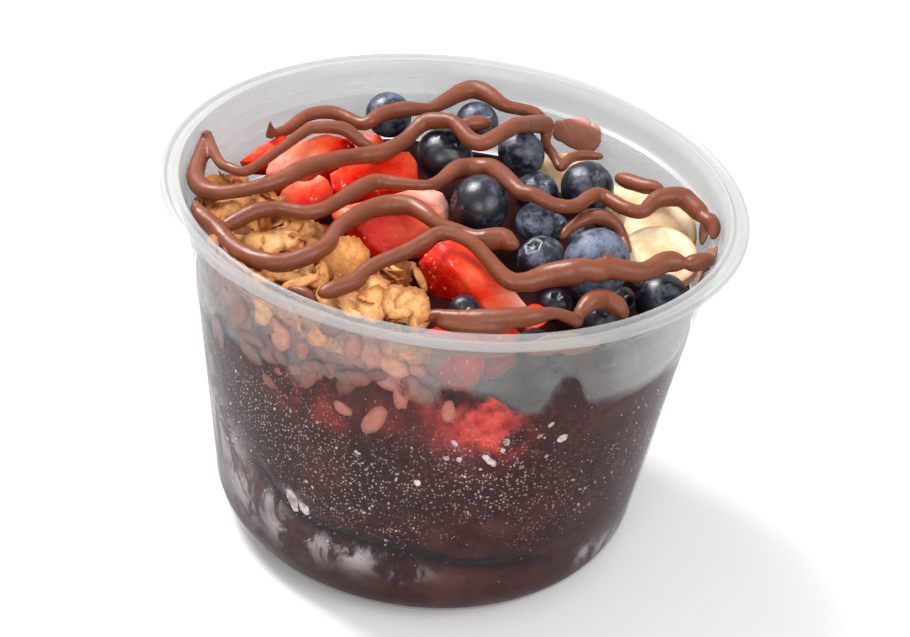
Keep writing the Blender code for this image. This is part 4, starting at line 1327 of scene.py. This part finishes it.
def hull_mesh(corners):
    """The hull of a chunk's corners, with its edges rounded off."""
    bm = bmesh.new()
    middle = sum((Vector(corner[:3]) for corner in corners), Vector()) / len(corners)
    for corner in corners:
        place = Vector(corner[:3])
        bm.verts.new((place + (place - middle).normalized() * 0.6) * MM)
    hull = bmesh.ops.convex_hull(bm, input=bm.verts)
    bmesh.ops.delete(bm, geom=hull["geom_interior"], context="VERTS")
    bmesh.ops.dissolve_limit(bm, angle_limit=math.radians(12), verts=bm.verts, edges=bm.edges)
    bmesh.ops.bevel(
        bm, geom=bm.edges, offset=0.25 * MM, segments=2, affect="EDGES", profile=0.5,
        material=-1, clamp_overlap=True,
    )
    return mesh_of(bm, "chunk")


def diced(context, name, corners, notch):
    """A diced strawberry: its rounded hull, carved a little, redder near its skin."""
    bm = bmesh.new()
    bm.from_mesh(melt(context, hull_mesh(corners), 0.35 * MM))
    light = bm.verts.layers.float.new("pale")
    places = [(Vector(corner[:3]) * MM, corner[3]) for corner in corners]
    seed = sum(map(ord, name))
    bm.normal_update()
    for vertex in bm.verts:
        weights = [1 / ((vertex.co - place).length / MM + 0.4) ** 3 for place, _ in places]
        vertex[light] = sum(w * tone for w, (_, tone) in zip(weights, places)) / sum(weights)
        dent = 0.16 * wave(vertex.co, 3.5 * MM, seed) + 0.08 * wave(vertex.co, 1.1 * MM, seed)
        for place, size, depth in notch:
            away = (vertex.co / MM - Vector(place)).length / size
            dent -= depth * math.exp(-away * away)
        vertex.co += vertex.normal * MM * dent
    smoothed(bm)
    bm.normal_update()
    skin = [vertex for vertex in bm.verts if vertex[light] < 0.17 and vertex.co.z > 66.5 * MM]
    picked = random.Random(seed).sample(skin, min(len(skin), 1 + len(skin) // 60))
    places = [(vertex.co - vertex.normal * 0.05 * MM, vertex.normal.copy()) for vertex in picked]
    for place, normal in places:
        add_seed(bm, pebble((0.26, 0.42, 0.16), 1), place, normal)
    return mesh_of(bm, name, 60)


# Dents cut into the chunks: place, size, depth.
NOTCHES = {"strawberry_04": (((-30.6, 5.2, 73.6), 2.2, 1.6),)}


class BOWL_OT_strawberries(bpy.types.Operator):
    """Lays the cut strawberries, with their seeds and flesh"""

    bl_idname = "bowl.strawberries"
    bl_label = "Strawberries"

    def execute(self, context):
        finishes = [strawberry_finish(context.scene.bowl_fruit), seed_finish()]
        for name, shape in STRAWBERRIES.items():
            bm = bmesh.new()
            strawberry(bm, name, *shape)
            bmesh.ops.translate(bm, verts=bm.verts, vec=middle_of(name))
            add_piece(name + "_cut", mesh_of(bm, name, 35), "strawberry", finishes, name)
        for name, corners in CHUNKS.items():
            data = diced(context, name, corners, NOTCHES.get(name, ()))
            add_piece(name + "_cut", data, "strawberry", finishes, name)
        return {"FINISHED"}


def banana_finish(settings):
    """Banana flesh: cream, with a tan core and a darker rim."""
    f = Finish("banana_flesh")
    own = f.vector("own")
    out = f.node("VectorMath", {0: own}, operation="LENGTH").outputs["Value"]
    cream = tuple(settings.banana)
    tone = f.ramp(
        out, (0.0, linear(216, 178, 130)), (0.28, linear(226, 194, 150)), (0.42, cream),
        (0.85, linear(236, 216, 184)), (1.0, linear(204, 156, 108)),
    )
    riper = f.span(f.noise(2.4, 4, 0.6, own), 0.42, 0.62, 0.0, 0.75)
    tone = f.mix(riper, tone, linear(220, 174, 128))
    bump = f.bump(f.noise(11, 4, 0.6, own), 0.3, 0.0006)
    return f.done(
        f.principled(**{
            "Base Color": tone, "Roughness": 0.42, "Specular IOR Level": 0.3, "Normal": bump,
            "Subsurface Weight": 0.25, "Subsurface Radius": (0.006, 0.004, 0.002),
        })
    )


class BOWL_OT_bananas(bpy.types.Operator):
    """Lays the slices of banana"""

    bl_idname = "bowl.bananas"
    bl_label = "Bananas"

    def execute(self, context):
        finish = banana_finish(context.scene.bowl_fruit)
        for name, (radius, thickness, turn, rise) in BANANAS.items():
            bm = bmesh.new()
            own = bm.verts.layers.float_vector.new("own")
            bmesh.ops.create_cone(
                bm, cap_ends=True, segments=64, radius1=radius * MM, radius2=radius * MM,
                depth=thickness * MM,
            )
            flat = 0.01 * MM
            rims = [
                edge for edge in bm.edges if abs(edge.verts[0].co.z - edge.verts[1].co.z) < flat
            ]
            bmesh.ops.bevel(
                bm, geom=rims, offset=0.5 * MM, segments=3, affect="EDGES", profile=0.5,
                material=-1,
            )
            for cap in [face for face in bm.faces if len(face.verts) > 10]:
                ringed(bm, [cap], 9)
            for vertex in bm.verts:
                x, y, z = vertex.co
                vertex[own] = Vector((x, y, 0)) / (radius * MM)
                out = math.hypot(x, y) / (radius * MM)
                vertex.co.x *= 1 + 0.03 * wave(Vector((x, y, 0)), 4 * MM, turn)
                vertex.co.y *= 0.88
                dip = 0.25 * MM * math.exp(-((out / 0.3) ** 2)) - 0.1 * MM * wave(vertex.co, 2 * MM)
                vertex.co.z -= math.copysign(dip, z)
            bmesh.ops.rotate(bm, verts=bm.verts, matrix=facing(turn, rise))
            bmesh.ops.translate(bm, verts=bm.verts, vec=middle_of(name))
            add_piece(name + "_slice", mesh_of(bm, name), "banana", [finish], name)
        return {"FINISHED"}


# --- the chocolate spread ---


def spread_finish(name, colour):
    """Chocolate spread: smooth milk brown with a soft gloss."""
    f = Finish(name)
    tone = f.ramp(
        f.noise(120, 4, 0.55), (0.3, tuple(c * 0.8 for c in colour)), (0.6, colour),
        (0.8, tuple(min(1, c * 1.2) for c in colour)),
    )
    height = f.math("ADD", f.noise(420, 3, 0.5), f.math("MULTIPLY", f.noise(1500, 2), 0.25))
    return f.done(
        f.principled(**{
            "Base Color": tone, "Roughness": f.span(f.noise(300), 0.3, 0.7, 0.3, 0.45),
            "Subsurface Weight": 0.1, "Subsurface Radius": (0.004, 0.002, 0.001),
            "Specular IOR Level": 0.36, "Normal": f.bump(height, 0.15, 0.0005),
        })
    )


class BOWL_OT_spread(bpy.types.Operator):
    """Squeezes the strands of chocolate spread and melts them together"""

    bl_idname = "bowl.spread"
    bl_label = "Spread"

    def execute(self, context):
        settings = context.scene.bowl_spread
        finish = spread_finish("chocolate_spread", tuple(settings.colour))
        curve = bpy.data.curves.new("strands", "CURVE")
        curve.dimensions = "3D"
        curve.bevel_depth = MM
        curve.bevel_resolution = 4
        curve.use_fill_caps = True
        for route in (*STRANDS, *DRIBBLES):
            self.add_strand(curve, curve_through([Vector(point) for point in route]))
        for foot, tip, thickness in PEAKS:
            self.add_peak(curve, Vector(foot) * MM, Vector(tip) * MM, thickness)
        data = evaluated(context, bpy.data.objects.new("strands", curve))
        bm = bmesh.new()
        bm.from_mesh(data)
        bmesh.ops.remove_doubles(bm, verts=bm.verts, dist=0.01 * MM)
        bm.to_mesh(data)
        bm.free()
        bm = bmesh.new()
        bm.from_mesh(melt(context, data, settings.voxel))
        smoothed(bm, 2)
        bm.normal_update()
        for vertex in bm.verts:
            vertex.co += vertex.normal * MM * (
                0.02 + 0.09 * wave(vertex.co, 2.8 * MM) + 0.03 * wave(vertex.co, 1.1 * MM, 2)
            )
        names = [f"spread_{i:02d}" for i in range(1, 10)]
        add_piece(
            "chocolate_strands", mesh_of(bm, "strands", 180), "chocolate_spread", [finish], *names
        )
        thin = spread_finish("thin_spread", linear(152, 100, 82))
        for name, patches in SMEARS.items():
            bm = bmesh.new()
            for i, shape in enumerate(patches):
                self.add_smear(bm, i, *shape)
            add_piece(name + "_patch", mesh_of(bm, name, 180), "chocolate_spread", [thin], name)
        return {"FINISHED"}

    def add_strand(self, curve, points):
        """One strand as a spline, as thick as its points say, with thin round ends."""
        spline = curve.splines.new("POLY")
        spline.points.add(len(points) - 1)
        last = len(points) - 1
        for i, (knot, point) in enumerate(zip(spline.points, points)):
            ends = min(1, 0.45 + 0.55 * math.sqrt(min(i, last - i) / 2.5))
            knot.co = (*(point.xyz * MM), 1)
            knot.radius = (0.57 * point.w + 0.12) * ends

    def add_peak(self, curve, foot, tip, thickness):
        """A point pulled up out of a strand."""
        spline = curve.splines.new("POLY")
        spline.points.add(8)
        for i, knot in enumerate(spline.points):
            t = i / 8
            knot.co = (*foot.lerp(tip, t), 1)
            knot.radius = thickness / 2 * (1 - t) ** 1.3 + 0.25

    def add_smear(self, bm, seed, turn, height, half_width, half_height, thickness):
        """A patch on the inner wall: a ball, flattened, ragged and bent to the wall."""
        made = bmesh.ops.create_uvsphere(bm, u_segments=40, v_segments=24, radius=1)["verts"]
        for vertex in made:
            across, depth, up = vertex.co
            ragged = 1 + 0.18 * wave(Vector((across, 0, up)), 0.9, seed + turn)
            z = height + up * half_height * ragged
            degrees = turn + math.degrees(across * half_width * ragged / wall_radius(z))
            inside = 0.45 - LEDGE * ease(clamp((z - LEDGE_HEIGHT - 0.6) / 1.4))
            deep = inside + thickness / 2 * (1 + depth) * (1 + 0.1 * wave(vertex.co, 0.6, seed))
            vertex.co = on_wall(degrees, z, deep)


# --- the stage ---


# The soft lights: name, place in metres, size and power. All point at the bowl's middle.
LAMPS = (
    ("key", (-0.45, 0.3, 0.8), 0.4, 14),
    ("fill", (0.6, -0.5, 0.6), 0.6, 5),
    ("front", (-0.15, -0.9, 0.45), 0.5, 4),
)
BOWL_MIDDLE = Vector((0, 0, 0.05))


class BOWL_OT_stage(bpy.types.Operator):
    """Sets the pale floor, the soft lights and the camera"""

    bl_idname = "bowl.stage"
    bl_label = "Stage"

    def execute(self, context):
        settings = context.scene.bowl_stage
        bm = bmesh.new()
        bmesh.ops.create_grid(bm, x_segments=8, y_segments=8, size=3)
        floor_mesh = mesh_of(bm, "floor")
        f = Finish("pale_floor")
        tone = f.ramp(
            f.noise(3), (0.3, tuple(c * 0.99 for c in settings.floor)), (0.7, tuple(settings.floor))
        )
        floor_mesh.materials.append(f.done(f.principled(**{"Base Color": tone, "Roughness": 0.7})))
        floor = bpy.data.objects.new("floor", floor_mesh)
        context.scene.collection.objects.link(floor)

        for name, place, size, power in LAMPS:
            self.add_light(context, name, Vector(place), size, power)
        world = bpy.data.worlds.new("studio")
        world.use_nodes = True
        background = world.node_tree.nodes["Background"]
        background.inputs["Color"].default_value = (1, 1, 1, 1)
        background.inputs["Strength"].default_value = 0.62
        context.scene.world = world
        context.scene.view_settings.view_transform = "Standard"

        rise, roll, distance = math.radians(32.482), math.radians(6.907), 0.41745
        aim = Vector((2.86, 0, 46.6)) * MM
        back = Vector((0, -math.cos(rise), math.sin(rise)))
        level = Vector((1, 0, 0))
        over = back.cross(level)
        right = math.cos(roll) * level + math.sin(roll) * over
        data = bpy.data.cameras.new("camera")
        data.lens = settings.lens
        data.sensor_width = 36
        data.clip_start = 0.01
        camera = bpy.data.objects.new("camera", data)
        camera.matrix_world = Matrix.Translation(aim + back * distance) @ Matrix(
            (right, back.cross(right), back)
        ).transposed().to_4x4()
        context.scene.collection.objects.link(camera)
        context.scene.camera = camera
        return {"FINISHED"}

    def add_light(self, context, name, place, size, power):
        """One square lamp."""
        data = bpy.data.lights.new(name, "AREA")
        data.size = size
        data.energy = power
        light = bpy.data.objects.new(name, data)
        light.location = place
        light.rotation_euler = (place - BOWL_MIDDLE).to_track_quat("Z", "Y").to_euler()
        context.scene.collection.objects.link(light)


class BOWL_PT_panel(bpy.types.Panel):
    """Lists the pieces of the bowl and their settings"""

    bl_idname = "BOWL_PT_panel"
    bl_label = "Acai Bowl"
    bl_space_type = "VIEW_3D"
    bl_region_type = "UI"
    bl_category = "Acai Bowl"

    def draw(self, context):
        layout = self.layout
        for operator in OPERATORS:
            layout.operator(operator.bl_idname)
        for group in GROUPS:
            settings = getattr(context.scene, group)
            box = layout.box()
            for key in settings.bl_rna.properties.keys():
                if key not in ("rna_type", "name"):
                    box.prop(settings, key)


GROUPS = {
    "bowl_tub": TubSettings,
    "bowl_acai": AcaiSettings,
    "bowl_granola": GranolaSettings,
    "bowl_fruit": FruitSettings,
    "bowl_spread": SpreadSettings,
    "bowl_stage": StageSettings,
}
OPERATORS = (
    BOWL_OT_stage,
    BOWL_OT_tub,
    BOWL_OT_acai,
    BOWL_OT_granola,
    BOWL_OT_strawberries,
    BOWL_OT_bananas,
    BOWL_OT_blueberries,
    BOWL_OT_spread,
)


CLASSES = (*GROUPS.values(), *OPERATORS, BOWL_PT_panel)


def register():
    for kind in CLASSES:
        bpy.utils.register_class(kind)
    for name, kind in GROUPS.items():
        setattr(bpy.types.Scene, name, PointerProperty(type=kind))


def unregister():
    for name in GROUPS:
        delattr(bpy.types.Scene, name)
    for kind in reversed(CLASSES):
        bpy.utils.unregister_class(kind)


def main():
    register()
    for operator in OPERATORS:
        group, name = operator.bl_idname.split(".")
        getattr(getattr(bpy.ops, group), name)()


if __name__ == "__main__":
    main()
